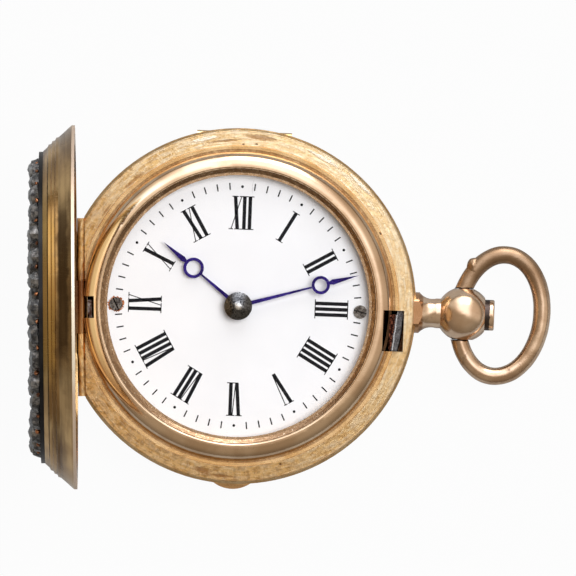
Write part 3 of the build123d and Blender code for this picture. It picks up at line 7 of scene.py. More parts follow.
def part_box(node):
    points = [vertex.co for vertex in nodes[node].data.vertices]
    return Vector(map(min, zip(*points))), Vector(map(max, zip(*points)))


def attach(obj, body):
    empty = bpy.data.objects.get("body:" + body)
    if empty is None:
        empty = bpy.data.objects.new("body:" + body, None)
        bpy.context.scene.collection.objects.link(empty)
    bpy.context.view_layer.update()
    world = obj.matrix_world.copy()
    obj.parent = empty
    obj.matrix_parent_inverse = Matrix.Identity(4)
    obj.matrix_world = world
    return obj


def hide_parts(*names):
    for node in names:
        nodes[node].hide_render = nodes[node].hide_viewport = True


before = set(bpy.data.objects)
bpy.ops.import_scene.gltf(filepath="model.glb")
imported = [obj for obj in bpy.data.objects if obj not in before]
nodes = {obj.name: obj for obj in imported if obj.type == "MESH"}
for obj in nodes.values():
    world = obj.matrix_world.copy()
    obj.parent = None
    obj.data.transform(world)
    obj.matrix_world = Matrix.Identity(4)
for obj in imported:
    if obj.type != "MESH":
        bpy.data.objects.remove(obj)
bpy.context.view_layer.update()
scene = bpy.context.scene
mm = 0.001  # the scene is in metres, the settings below are in millimetres
print("frame loaded:", len(nodes), "nodes")


# One socket of a node tree, so that sums on it can be written as sums
class Wire:
    def __init__(self, board, socket):
        self.board, self.socket = board, socket

    def __add__(self, other):
        return self.board.maths("ADD", self, other)

    __radd__ = __add__

    def __sub__(self, other):
        return self.board.maths("SUBTRACT", self, other)

    def __rsub__(self, other):
        return self.board.maths("SUBTRACT", other, self)

    def __mul__(self, other):
        return self.board.maths("MULTIPLY", self, other)

    __rmul__ = __mul__

    def __truediv__(self, other):
        return self.board.maths("DIVIDE", self, other)

    def __mod__(self, other):
        return self.board.maths("MODULO", self, other)

    def __abs__(self):
        return self.board.maths("ABSOLUTE", self)

    def band(self, low, high):
        # 0 below low, 1 above high, smooth between
        settings = {"interpolation_type": "SMOOTHSTEP"}
        return self.board.node("ShaderNodeMapRange", {0: self, 1: low, 2: high}, settings)

    def fade(self, low, high):
        # 1 below low, 0 above high
        return 1 - self.band(low, high)

    def span(self, start, full, fading, end):
        # 0 before start, 1 from full to fading, 0 after end
        return self.band(start, full) * self.fade(fading, end)


class Board:
    def __init__(self, tree):
        self.tree = tree

    def node(self, kind, values=None, settings=None, out=0):
        made = self.tree.nodes.new(kind)
        for key, value in (settings or {}).items():
            setattr(made, key, value)
        for key, value in (values or {}).items():
            if isinstance(value, Wire):
                self.tree.links.new(value.socket, made.inputs[key])
            else:
                made.inputs[key].default_value = value
        return None if out is None else Wire(self, made.outputs[out])

    def maths(self, operation, *values):
        return self.node("ShaderNodeMath", dict(enumerate(values)), {"operation": operation})

    def parts(self, vector):
        return [self.node("ShaderNodeSeparateXYZ", {0: vector}, out=axis) for axis in "XYZ"]

    def joined(self, x, y, z):
        return self.node("ShaderNodeCombineXYZ", {0: x, 1: y, 2: z})

    def mixed(self, share, first, second):
        values = {0: share}
        for key, colour in ((6, first), (7, second)):
            values[key] = colour if isinstance(colour, Wire) else (*colour, 1)
        return self.node("ShaderNodeMix", values, {"data_type": "RGBA"}, 2)


class Finish(Board):
    def __init__(self, name):
        self.material = bpy.data.materials.new(name)
        self.material.use_nodes = True
        super().__init__(self.material.node_tree)
        self.tree.nodes.clear()
        self.spot = self.node("ShaderNodeTexCoord", out="Object")

    def places(self, vector=None):
        # x, y and z in millimetres
        return [part * (1 / mm) for part in self.parts(vector or self.spot)]

    def placesFrom(self, centre, turn):
        # x, y and z in millimetres from a centre, turned about the upright axis
        values = {0: self.spot, 1: [c * mm for c in centre], 2: (0, 0, turn)}
        return self.places(self.node("ShaderNodeMapping", values, {"vector_type": "TEXTURE"}))

    def around(self, x, y):
        # distance from an axis, and the direction round it as a unit vector
        reach = self.maths("SQRT", x * x + y * y)
        return reach, x / reach, y / reach

    def noise(self, vector, scale, detail, rough=0.5):
        values = {"Vector": vector, "Scale": scale, "Detail": detail, "Roughness": rough}
        return self.node("ShaderNodeTexNoise", values)

    def grain(self, size, detail, rough=0.5):
        # noise whose lumps are about size millimetres across
        return self.noise(self.spot, 1 / (size * mm), detail, rough)

    def streaks(self, x, y, z, detail):
        # noise drawn out in the direction in which x, y and z change least
        return self.noise(self.joined(x, y, z), 1, detail)

    def cells(self, size):
        values = {"Vector": self.spot, "Scale": 1 / (size * mm)}
        return self.node("ShaderNodeTexVoronoi", values, out="Distance")

    def hairs(self, width, length, turn):
        # fine straight scratches in one direction
        degrees = [radians(a) for a in turn]
        stretch = (1 / length, 1 / width, 1 / length)
        turned = self.node("ShaderNodeMapping", {0: self.spot, 2: degrees, 3: stretch})
        return self.noise(turned, 1 / mm, 2).band(0.62, 0.72)

    def layered(self, colour, *coats):
        # each coat: where it lies, from 0 to 1, and its colour
        for share, coat in coats:
            colour = self.mixed(share, colour, coat)
        return colour

    def bumped(self, height, depth, strength=1.0):
        # depth is how far the relief reaches, in millimetres
        values = {"Height": height, "Distance": depth * mm, "Strength": strength}
        return self.node("ShaderNodeBump", values)

    def done(self, colour, rough, others):
        values = {"Base Color": colour, "Roughness": rough, **others}
        shader = self.node("ShaderNodeBsdfPrincipled", values)
        self.node("ShaderNodeOutputMaterial", {0: shader}, out=None)
        return self.material

    def metal(self, colour, rough, normal):
        return self.done(colour, rough, {"Metallic": 1, "Normal": normal})


# Gold: each piece of it has its own tone and wear
goldTones = {
    "caseGold": {
        "light": (0.88, 0.62, 0.34), "deep": (0.74, 0.46, 0.20), "brown": (0.28, 0.14, 0.055),
        "rough": 0.19, "drift": 2.4, "tarnish": 0.40, "tarnishFrom": 0.56, "hair": 0.10, "depth": 0.022,
    },
    "bezelGold": {
        "light": (0.86, 0.65, 0.45), "deep": (0.68, 0.48, 0.31), "brown": (0.20, 0.11, 0.06),
        "rough": 0.12, "drift": 3.2, "tarnish": 0.16, "tarnishFrom": 0.64, "hair": 0.07, "depth": 0.008,
    },
    "coverGold": {
        "light": (0.86, 0.58, 0.27), "deep": (0.60, 0.38, 0.17), "brown": (0.13, 0.070, 0.032),
        "rough": 0.13, "drift": 4.5, "tarnish": 0.45, "tarnishFrom": 0.52, "hair": 0.09, "depth": 0.012,
    },
    "pendantGold": {
        "light": (0.90, 0.70, 0.52), "deep": (0.76, 0.54, 0.37), "brown": (0.22, 0.11, 0.07),
        "rough": 0.17, "drift": 1.8, "tarnish": 0.40, "tarnishFrom": 0.56, "hair": 0.10, "depth": 0.010,
    },
    "bowGold": {
        "light": (0.80, 0.60, 0.43), "deep": (0.60, 0.41, 0.27), "brown": (0.16, 0.09, 0.055),
        "rough": 0.17, "drift": 1.5, "tarnish": 0.5, "tarnishFrom": 0.54, "hair": 0.10, "depth": 0.014,
    },
    "insideGold": {
        "light": (0.90, 0.65, 0.35), "deep": (0.80, 0.51, 0.22), "brown": (0.36, 0.20, 0.09),
        "rough": 0.20, "drift": 3.0, "tarnish": 0.25, "tarnishFrom": 0.62, "hair": 0.10, "depth": 0.006,
    },
}


def wornGold(name, toneName=None):
    # a finish, with the colour, roughness and relief of old gold that is worn, rubbed and stained
    finish, tone = Finish(name), goldTones[toneName or name]
    drift = finish.grain(tone["drift"], 4).band(0.35, 0.65)
    stain = finish.grain(tone["drift"] * 0.55, 8, 0.65).band(tone["tarnishFrom"], 0.80)
    pits = finish.cells(0.42).fade(0.05, 0.12) * finish.grain(1.6, 2).band(0.55, 0.70)
    hair = finish.hairs(0.035, 3.0, (8, 5, 33)) * 0.6 + finish.hairs(0.03, 2.2, (0, 12, 118)) * 0.4
    colour = finish.mixed(drift, tone["deep"], tone["light"])
    colour = finish.mixed(stain * tone["tarnish"] + pits * 0.5, colour, tone["brown"])
    rough = drift * -0.03 + stain * 0.10 + hair * tone["hair"] + (tone["rough"] + 0.03)
    relief = finish.grain(0.9, 3) * 0.6 + hair * 0.25 - pits * 0.8
    return finish, tone, colour, rough, relief


def plainGold(name):
    finish, tone, colour, rough, relief = wornGold(name)
    colour, rough = goldAges[name](finish, tone, colour, rough)
    return finish.metal(colour, rough, finish.bumped(relief, tone["depth"], 0.5))


# Old dirt where the pendant meets the band
pendant = {"dirt": (0.46, 0.21, 0.075), "dirtTo": (15.60, 15.75)}


def pendantAge(finish, tone, colour, rough):
    x, y, z = finish.places()
    clean = (x + finish.grain(0.4, 4) * 0.2).band(*pendant["dirtTo"])
    return finish.mixed(0.75 - clean * 0.75, colour, pendant["dirt"]), rough


# The bow's upper side has gone dull, its lower side has brown spots, and dirt sits where it meets the ball
bowWear = {
    "dull": (0.28, 0.165, 0.085), "dullFrom": (1.0, 4.0), "spotsTo": (-3.5, -2.5),
    "dirt": (0.022, 0.012, 0.010), "dirtTo": (2.26, 2.32), "dirtBack": (20.8, 21.0),
}


def bowAge(finish, tone, colour, rough):
    x, y, z = finish.places()
    dull = y.band(*bowWear["dullFrom"])
    spots = finish.grain(0.55, 5, 0.7).band(0.60, 0.68) * y.fade(*bowWear["spotsTo"])
    dirt = (abs(y) + finish.grain(0.4, 3) * 0.06).fade(*bowWear["dirtTo"]) * x.fade(*bowWear["dirtBack"])
    colour = finish.layered(
        colour, (dull * 0.72, bowWear["dull"]), (spots * 0.6, tone["brown"]), (dirt * 0.95, bowWear["dirt"]),
    )
    return colour, rough + dull * 0.18


# The back covers are dark below the slot of the catch, and browned at the thumb lip
inside = {
    "dark": (0.085, 0.036, 0.020), "slotFrom": (12.0, 12.2), "slotHalf": (3.4, 4.0), "above": (0.4, 0.5),
    "browned": (0.30, 0.15, 0.06), "lipTo": (-15.0, -14.7),
}


def insideAge(finish, tone, colour, rough):
    x, y, z = finish.places()
    slot = x.band(*inside["slotFrom"]) * abs(y).fade(*inside["slotHalf"]) * z.band(*inside["above"])
    lip = (y + finish.grain(0.5, 4) * 0.3).fade(*inside["lipTo"])
    return finish.layered(colour, (slot * 0.92, inside["dark"]), (lip * 0.72, inside["browned"])), rough


goldAges = {"pendantGold": pendantAge, "bowGold": bowAge, "insideGold": insideAge}

# The push piece has a pale worn end, and black dirt where it slides into the ball
push = {"dirt": (0.030, 0.024, 0.028), "dirtTo": (21.28, 21.36)}


def pushGold(name):
    finish, tone, colour, rough, relief = wornGold(name, "pendantGold")
    x, y, z = finish.places()
    dirt = (x + finish.grain(0.3, 4) * 0.2).fade(*push["dirtTo"])
    colour = finish.mixed(dirt * 0.93, colour, push["dirt"])
    normal = finish.bumped(relief + dirt * finish.grain(0.12, 4), tone["depth"], 0.6)
    return finish.metal(colour, rough + dirt * 0.2, normal)


# The band's flat ring is brushed round and round; its groove and its step are polished. Painted light
# and shade make it paler towards one o'clock and browner towards seven; it is yellow at ten, with a thin
# reddish line at its edge that is painted shade of its chamfer.
# Each mark: direction and reach of its middle, length along the ring and width across it
ring = {
    "inner": (13.52, 13.58), "outer": 14.72, "level": (5.42, 5.46), "fine": 0.045, "coarse": 0.22,
    # pale and warm: the lit and shaded tones that paint light and shade on the brushed ring
    "pale": (0.93, 0.68, 0.36), "warm": (0.78, 0.49, 0.19), "dark": (0.40, 0.21, 0.070),
    "bright": (1.0, 0.92, 0.72), "yellow": (0.74, 0.47, 0.17), "patch": (0.86, 0.66, 0.38),
    "stain": (0.36, 0.17, 0.06), "white": (1.0, 0.93, 0.80), "pit": (0.14, 0.06, 0.03),
    "edge": (0.40, 0.20, 0.10),
    "stains": [(84.3, 14.30, 2.5, 0.45), (97.0, 13.95, 2.6, 0.20), (259.7, 14.15, 1.6, 0.50),
               (266.0, 14.40, 2.4, 0.25), (132.0, 13.75, 2.0, 0.28), (146.0, 13.72, 1.2, 0.22)],
    "rubbed": [(103.5, 14.35, 2.3, 0.30), (62.0, 14.35, 3.0, 0.28), (47.0, 14.55, 2.6, 0.30)],
    "pits": [(90.3, 13.62, 0.20, 0.16), (85.6, 13.72, 0.24, 0.16), (29.0, 13.45, 0.3, 0.12),
             (287.0, 13.8, 0.2, 0.2)],
}

# Old dirt in the band's groove and pockets, beside the catch and in the joints of the front hinge
grime = {
    "brown": (0.23, 0.11, 0.045), "groove": (12.98, 13.05, 13.20, 13.28),
    "deep": (0.110, 0.040, 0.020), "below": (5.05, 5.50), "within": (14.55, 14.70),
    "rust": (0.46, 0.18, 0.08),
    "black": (0.10, 0.045, 0.022), "catch": -1.63, "catchHalf": (1.64, 1.72), "catchTo": (13.52, 13.60),
    "red": (0.17, 0.060, 0.030), "hingeHalf": (2.0, 3.2), "hingeTo": (-13.2, -12.9),
}


def marksOf(finish, x, y, ragged, marks):
    # 1 within the ragged patches on the ring, 0 outside them
    total = 0
    for angle, reach, length, width in marks:
        cosine, sine = cos(radians(angle)), sin(radians(angle))
        outward = x * cosine + y * sine - reach
        onward = y * cosine - x * sine
        far = outward * outward * (4 / width ** 2) + onward * onward * (4 / length ** 2)
        total = (far + ragged).fade(0.30, 1.60) + total
    return total


def caseGold(name):
    finish, tone, colour, rough, relief = wornGold(name)
    x, y, z = finish.places()
    reach, aimX, aimY = finish.around(x, y)
    # the flat ring
    flat = z.band(*ring["level"]) * reach.band(*ring["inner"])
    lines = 0
    for width, share in ((ring["fine"], 0.45), (ring["coarse"], 0.55)):
        lines = finish.streaks(aimX * 11, aimY * 11, reach / width, 4) * share + lines
    # side: painted light and shade, pale towards one o'clock and brown towards seven; it also sets how dark
    # the blotches and how bright the streaks and dust are painted
    side = (aimY * 0.80 + aimX * 0.60).band(-0.9, 1.15)
    upperLeft = (aimY * 0.62 - aimX * 0.78).band(0.55, 1.0)
    blotch = finish.grain(0.50, 7, 0.78).band(0.44, 0.58)
    patch = finish.grain(1.7, 6, 0.7).band(0.46, 0.58)
    dust = finish.grain(0.20, 4).band(0.58, 0.68)
    ragged = finish.grain(0.22, 6, 0.8) * 3.6 - 1.8
    stains = marksOf(finish, x, y, ragged, ring["stains"])
    rubbed = marksOf(finish, x, y, ragged, ring["rubbed"])
    pits = marksOf(finish, x, y, ragged * 0.4, ring["pits"])
    brushed = finish.layered(
        finish.mixed(side, ring["warm"], ring["pale"]),
        (blotch * (1.35 - side) * 0.60, ring["dark"]),
        (upperLeft * 0.60, ring["yellow"]),
        (upperLeft * blotch * 0.60, ring["dark"]),
        (patch * 0.40, ring["patch"]),
        (lines.band(0.44, 0.60) * (side * 0.40 + 0.22), ring["bright"]),
        (dust * (side * 0.25 + 0.20), ring["bright"]),
        (stains * 0.70, ring["stain"]),
        (rubbed * 0.75, ring["white"]),
    )
    # a thin reddish line painted at the ring's outer corner, as the shade of its chamfer
    edge = abs(reach - ring["outer"]).fade(0.02, 0.06)
    # where dirt sits
    dirt = finish.grain(0.35, 6, 0.7).band(0.30, 0.60)
    rust = finish.grain(0.12, 3).band(0.54, 0.64)
    groove = reach.span(*grime["groove"])
    pocket = z.fade(*grime["below"]) * reach.fade(*grime["within"])
    beside = abs(y - grime["catch"]).fade(*grime["catchHalf"]) * x.band(0, 1)
    beside = beside * (reach - y * 0.06).fade(*grime["catchTo"])
    hinge = abs(y).fade(*grime["hingeHalf"]) * x.fade(*grime["hingeTo"])
    colour = finish.layered(
        colour,
        (flat, brushed),
        (pits * 0.8, ring["pit"]),
        (edge * (lines * 0.5 + 0.10), ring["edge"]),
        (groove * (dirt * 0.40 + 0.20), grime["brown"]),
        (pocket * (dirt * 0.3 + 0.65), grime["deep"]),
        (pocket * rust * 0.7, grime["rust"]),
        (beside * 0.9, finish.mixed(rust, grime["black"], grime["rust"])),
        (hinge * (dirt * 0.35 + 0.50), grime["red"]),
    )
    rough = rough + flat * (lines * 0.16 + 0.02 + blotch * 0.08 + stains * 0.10) + pocket * 0.3
    relief = relief + flat * (lines * 1.8 + dust * 0.30 + blotch * 0.4)
    relief = relief - (pits + stains * 0.3) * 2.0 + rubbed * 0.8
    return finish.metal(colour, rough, finish.bumped(relief, tone["depth"], 0.8))


# The bezel is polished. Its lip slopes down to the glass and is nicked; it is dark, and paler at its foot, as
# a painted reflection.
# It is painted browner on its right, a painted dark reflection, has a painted highlight as a pale crescent
# beside the cover's hinge, and holds dirt in its two notches
bezel = {
    "foot": 11.26, "footEdge": (11.23, 11.31), "outer": 11.60, "outerEdge": (11.56, 11.66), "slope": 0.22,
    "dark": (0.25, 0.135, 0.065), "paler": (0.62, 0.42, 0.25), "glint": (1.0, 0.86, 0.66),
    "brown": (0.36, 0.21, 0.12), "rubbed": (1.0, 0.93, 0.74), "crescent": (11.72, 11.84, 12.10, 12.30),
    "dirt": (0.16, 0.07, 0.035), "below": (5.70, 6.60), "notch": (12.0, 12.2, 12.90, 12.98),
}


def bezelGold(name):
    finish, tone, colour, rough, relief = wornGold(name)
    x, y, z = finish.places()
    reach, aimX, aimY = finish.around(x, y)
    lip = reach.fade(*bezel["outerEdge"])
    foot = (reach + finish.grain(0.30, 4) * 0.24 - 0.12).fade(*bezel["footEdge"])
    nicks = finish.streaks(aimX * 26, aimY * 26, reach / 0.16, 5).band(0.38, 0.58)
    glint = finish.grain(0.20, 3).band(0.64, 0.72)
    # painted dark reflection: browner towards the right side
    paintedDarkRight = (aimX * 0.94 + aimY * 0.34).band(0.35, 0.95) * (1 - lip)
    # painted highlight: a pale crescent on the left side, beside the cover's hinge
    crescent = (reach + aimX * 0.35).span(*bezel["crescent"])
    crescent = crescent * (aimX * -0.97 + aimY * 0.22).band(0.60, 0.92)
    notch = z.fade(*bezel["below"]) * reach.span(*bezel["notch"])
    colour = finish.layered(
        colour,
        # painted reflection: the lip's dark tone and its paler foot; the nicks are real
        (lip * (nicks * 0.25 + 0.60), bezel["dark"]),
        (foot * (0.75 - nicks * 0.35), bezel["paler"]),
        (lip * glint * 0.8, bezel["glint"]),
        (paintedDarkRight * 0.30, bezel["brown"]),
        (crescent, bezel["rubbed"]),
        (notch * 0.6, bezel["dirt"]),
    )
    lathe = finish.streaks(aimX * 5, aimY * 5, reach / 0.09, 2)
    relief = relief + lip * nicks * 0.6 + lathe * 0.25
    # the lip's slope: its height rises outwards
    rise = finish.maths("MAXIMUM", reach - bezel["foot"], 0.0)
    rise = rise * lip * (1 / (bezel["outer"] - bezel["foot"]))
    normal = finish.node("ShaderNodeBump", {
        "Height": relief, "Distance": tone["depth"] * mm, "Strength": 0.5,
        "Normal": finish.bumped(rise, bezel["slope"]),
    })
    return finish.metal(colour, rough + lip * (nicks * 0.12 + 0.08), normal)


# The front cover shows lathe rings round its own axis. Its flank is yellow in the middle, with one long
# dark streak beside the rim that is a painted dark reflection; the rim has a painted highlight, brightest
# beside the hinge, where old dirt sits, and is less metallic there so that it takes more light.
# Depths along its axis are measured from the hinge, and are negative outwards
coverPlace = {"hingeReach": 13.2, "hingeLevel": 5.31, "turn": 2.5}
cover = {
    "flankFrom": (12.3, 12.7), "plate": (0.94, 0.72, 0.46), "plateDull": (0.80, 0.55, 0.30),
    "yellow": (0.90, 0.56, 0.16), "yellowAlong": (-8, -3, 6, 10), "yellowTo": (-2.2, -1.8),
    "streak": (0.090, 0.048, 0.020), "streakAlong": (-4.6, -3.0, 7.5, 10),
    "streakAt": (-1.95, -1.6, -1.05, -0.75),
    "bright": (1.0, 0.91, 0.74), "dull": (0.78, 0.60, 0.46), "rimAt": (-0.64, -0.56, -0.30, -0.25),
    "rimFrom": (14.60, 14.72),
    "dirt": (0.17, 0.060, 0.030), "hingeHalf": (2.0, 3.2), "hingeTo": (-12.9, -12.4),
}


def coverGold(name):
    finish, tone, colour, rough, relief = wornGold(name)
    turn = radians(coverPlace["turn"])
    hinge = coverPlace["hingeReach"]
    centre = (-hinge * cos(turn), -hinge * sin(turn), coverPlace["hingeLevel"] + hinge)
    x, y, z = finish.placesFrom(centre, turn)
    reach, aimY, aimZ = finish.around(y, z)
    lathe = finish.streaks(aimY * 6, aimZ * 6, reach / 0.11, 3)
    flank = reach.band(*cover["flankFrom"])
    smear = finish.streaks(x * 2.4, y * 0.090, z * 0.090, 4).band(0.45, 0.62)
    blotch = finish.streaks(x * 0.46, y * 0.075, z * 0.075, 5).band(0.40, 0.60) * flank
    along = y + finish.grain(2.2, 4) * 3 - 1.5
    depth = x + finish.grain(1.3, 4) * 0.7 - 0.35
    yellow = along.span(*cover["yellowAlong"]) * flank * depth.fade(*cover["yellowTo"])
    # painted dark reflection: one long dark streak beside the rim
    streak = along.span(*cover["streakAlong"]) * flank * depth.span(*cover["streakAt"])
    # painted highlight on the rim: near white, and less metallic so that it takes diffuse light
    rim = x.span(*cover["rimAt"]) * reach.band(*cover["rimFrom"])
    joint = abs(y).fade(*cover["hingeHalf"]) * z.fade(*cover["hingeTo"])
    colour = finish.layered(
        colour,
        (1 - flank, finish.mixed(blotch, cover["plate"], cover["plateDull"])),
        (smear * 0.25 * flank + blotch * 0.66, tone["brown"]),
        (yellow * 0.62, cover["yellow"]),
        (streak * 0.78, cover["streak"]),
        (rim * 0.9, finish.mixed(abs(along).band(4.5, 8.0), cover["bright"], cover["dull"])),
        (joint * 0.65, cover["dirt"]),
    )
    return finish.done(colour, rough + smear * 0.05 + blotch * 0.05 + rim * 0.25, {
        "Metallic": 1 - rim * 0.55, "Normal": finish.bumped(relief + lathe * 0.4, tone["depth"], 0.55),
    })


# Steel, brass and copper: light and deep tone, roughness, and size of the patches
steelTones = {
    "polishedSteel": ((0.62, 0.61, 0.60), (0.36, 0.35, 0.35), 0.16, 0.8),
    "blockSteel": ((0.42, 0.40, 0.40), (0.085, 0.035, 0.025), 0.28, 0.45),
    "springSteel": ((0.42, 0.42, 0.44), (0.20, 0.19, 0.20), 0.26, 1.0),
    "bluedSteel": ((0.050, 0.030, 0.300), (0.022, 0.012, 0.130), 0.24, 1.2),
    "giltBrass": ((0.86, 0.60, 0.25), (0.72, 0.46, 0.17), 0.38, 0.6),
    "cutBrass": ((0.84, 0.62, 0.30), (0.70, 0.47, 0.20), 0.24, 0.9),
    "dialCopper": ((0.72, 0.36, 0.20), (0.44, 0.19, 0.10), 0.32, 0.4),
    "chipCopper": ((0.78, 0.30, 0.12), (0.40, 0.13, 0.05), 0.40, 0.22),
    "footCopper": ((0.62, 0.26, 0.12), (0.16, 0.07, 0.04), 0.30, 0.9),
}


def workedMetal(name):
    finish = Finish(name)
    light, deep, roughness, size = steelTones[name]
    drift = finish.grain(size, 4).band(0.35, 0.65)
    hair = finish.hairs(0.03, 1.2, (0, 0, 52))
    rough = drift * -0.05 + hair * 0.08 + (roughness + 0.03)
    relief = finish.grain(size * 0.25, 3) * 0.5 + hair * 0.3
    return finish.metal(finish.mixed(drift, deep, light), rough, finish.bumped(relief, 0.006, 0.4))


# The lock spring: dark steel, whose catch is rusty on its inner side, with a painted highlight along its edge
catch = {
    "edge": 13.52, "bright": (0.62, 0.64, 0.68), "deep": (0.050, 0.048, 0.052), "light": (0.13, 0.13, 0.14),
    "speckle": (0.30, 0.30, 0.31), "rustTo": (13.36, 13.44), "rustAbove": (3.0, 3.4),
    "black": (0.018, 0.006, 0.005), "rust": (0.36, 0.13, 0.075),
}


def catchSteel(name):
    finish = Finish(name)
    x, y, z = finish.places()
    across = x - y * 0.10 + finish.grain(0.5, 4) * 0.16
    speckle = finish.grain(0.15, 4, 0.7).band(0.50, 0.58)
    drift = finish.grain(0.9, 4).band(0.35, 0.65)
    # painted highlight: a bright line along the catch's bevelled edge
    edge = abs(across - catch["edge"]).fade(0.01, 0.07)
    rusty = across.fade(*catch["rustTo"]) * z.band(*catch["rustAbove"])
    colour = finish.layered(
        finish.mixed(drift, catch["deep"], catch["light"]),
        (speckle * 0.5, catch["speckle"]),
        (edge * (1.0 - speckle * 0.3), catch["bright"]),
        (rusty, finish.mixed(speckle, catch["black"], catch["rust"])),
    )
    normal = finish.bumped(speckle * (rusty + 0.15), 0.03, 0.8)
    return finish.metal(colour, rusty * 0.25 + drift * 0.06 + 0.20, normal)


# The dial's screws: grey heads, nearly black in their slots
screw = {"slot": (0.012, 0.010, 0.010), "deep": (0.085, 0.075, 0.070), "light": (0.26, 0.24, 0.22)}


def screwSteel(name):
    finish = Finish(name)
    x, y, z = finish.places()
    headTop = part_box("dial_screws")[1].z / mm
    head = z.band(headTop - 0.05, headTop - 0.02)
    drift = finish.grain(0.30, 5, 0.7).band(0.40, 0.60)
    worn = finish.mixed(drift, screw["deep"], screw["light"])
    normal = finish.bumped(finish.grain(0.12, 4, 0.7), 0.014, 0.6)
    return finish.metal(finish.mixed(head, screw["slot"], worn), drift * 0.10 + 0.24, normal)


# The polished cap over the hands is speckled, with a painted highlight at its top and a painted dark
# reflection round its rim
cap = {"rim": (0.10, 0.52), "bright": (1.0, 1.0, 1.0), "dark": (0.022, 0.022, 0.026), "speckle": 0.13}


def capSteel(name):
    finish = Finish(name)
    x, y, z = finish.places()
    reach = finish.maths("SQRT", x * x + y * y)
    speckle = finish.grain(cap["speckle"], 5, 0.75).band(0.42, 0.58)
    # painted light: a white highlight at the top and a black reflection round the rim
    rim = (reach + speckle * 0.12).band(*cap["rim"])
    colour = finish.mixed(rim * 0.86 + speckle * 0.12, cap["bright"], cap["dark"])
    normal = finish.bumped(finish.grain(cap["speckle"], 4, 0.7), 0.014, 0.7)
    return finish.metal(colour, speckle * 0.15 + 0.14, normal)


# Enamel, print, stones and glass
mineralTones = {
    "dialWhite": {"light": (0.93, 0.935, 0.965), "deep": (0.90, 0.905, 0.935), "fleck": (0.45, 0.43, 0.42)},
    "coverBlack": {"light": (0.014, 0.013, 0.013), "deep": (0.005, 0.005, 0.006), "size": 2.0, "rough": 0.30,
                   "coat": 0.06},
    "ruby": {"light": (0.45, 0.03, 0.05), "deep": (0.25, 0.01, 0.03), "size": 0.4, "rough": 0.08,
             "coat": 0.6},
    "printBlack": {"light": (0.030, 0.030, 0.036), "deep": (0.006, 0.006, 0.008)},
    "stoneGrey": {"light": (0.40, 0.41, 0.415), "deep": (0.17, 0.175, 0.18), "flaw": (0.50, 0.51, 0.52)},
    "darkSilver": {"light": (0.34, 0.33, 0.32), "deep": (0.075, 0.075, 0.078)},
    "watchGlass": {"clear": (0.02, 0.02, 0.02), "dust": (0.75, 0.75, 0.74)},
}


def dialWhite(name):
    # white enamel with the odd fleck and a fine crack near twelve o'clock
    finish, tone = Finish(name), mineralTones[name]
    x, y, z = finish.places()
    fleck = finish.grain(0.22, 2).band(0.745, 0.77)
    cloud = finish.grain(5.0, 3).band(0.3, 0.7)
    crack = abs(x * 0.92 - y * 0.10 + finish.grain(0.7, 3) * 0.6 - 0.1).fade(0.01, 0.04)
    crack = crack * y.span(9.4, 9.7, 10.7, 10.9)
    colour = finish.mixed(cloud, tone["deep"], tone["light"])
    colour = finish.mixed(fleck * 0.35 + crack * 0.45, colour, tone["fleck"])
    normal = finish.bumped(finish.grain(1.4, 2), 0.010, 0.25)
    return finish.done(colour, cloud * 0.04 + 0.10, {
        "Coat Weight": 0.5, "Coat Roughness": 0.05, "Normal": normal,
    })


def glazed(name):
    finish, tone = Finish(name), mineralTones[name]
    drift = finish.grain(tone["size"], 4).band(0.3, 0.7)
    return finish.done(finish.mixed(drift, tone["deep"], tone["light"]), drift * 0.08 + tone["rough"], {
        "Coat Weight": tone["coat"], "Coat Roughness": 0.05, "Specular IOR Level": tone["coat"] * 0.5 + 0.10,
        "Normal": finish.bumped(finish.grain(tone["size"] * 1.5, 2), 0.010, 0.3),
    })


def printBlack(name):
    # matt black print, a little thin in places
    finish, tone = Finish(name), mineralTones[name]
    thin = finish.grain(0.12, 4, 0.7).band(0.55, 0.75)
    return finish.done(finish.mixed(thin, tone["deep"], tone["light"]), thin * 0.1 + 0.55, {"IOR": 1.25})


def stoneGrey(name):
    finish, tone = Finish(name), mineralTones[name]
    cloud = finish.grain(0.9, 4).band(0.3, 0.7)
    flaw = finish.grain(0.25, 3).band(0.58, 0.68)
    colour = finish.layered(finish.mixed(cloud, tone["deep"], tone["light"]), (flaw * 0.5, tone["flaw"]))
    return finish.done(colour, flaw * 0.2 + 0.06, {"Metallic": cloud * 0.3 + 0.1, "IOR": 2.2})


def darkSilver(name):
    finish, tone = Finish(name), mineralTones[name]
    black = finish.grain(0.5, 6, 0.7).band(0.35, 0.60)
    return finish.done(finish.mixed(black, tone["light"], tone["deep"]), black * 0.25 + 0.28, {
        "Metallic": 0.85, "Normal": finish.bumped(finish.grain(0.22, 5, 0.7), 0.05, 0.8),
    })


def watchGlass(name):
    # clear glass with a little dust and fine scratches
    finish, tone = Finish(name), mineralTones[name]
    dust = finish.grain(0.12, 2).band(0.72, 0.78)
    hair = finish.hairs(0.02, 4.0, (0, 0, 20))
    return finish.done(finish.mixed(dust, tone["clear"], tone["dust"]), hair * 0.05 + 0.02, {
        "Alpha": dust * 0.12 + hair * 0.02 + 0.02, "IOR": 1.5,
    })


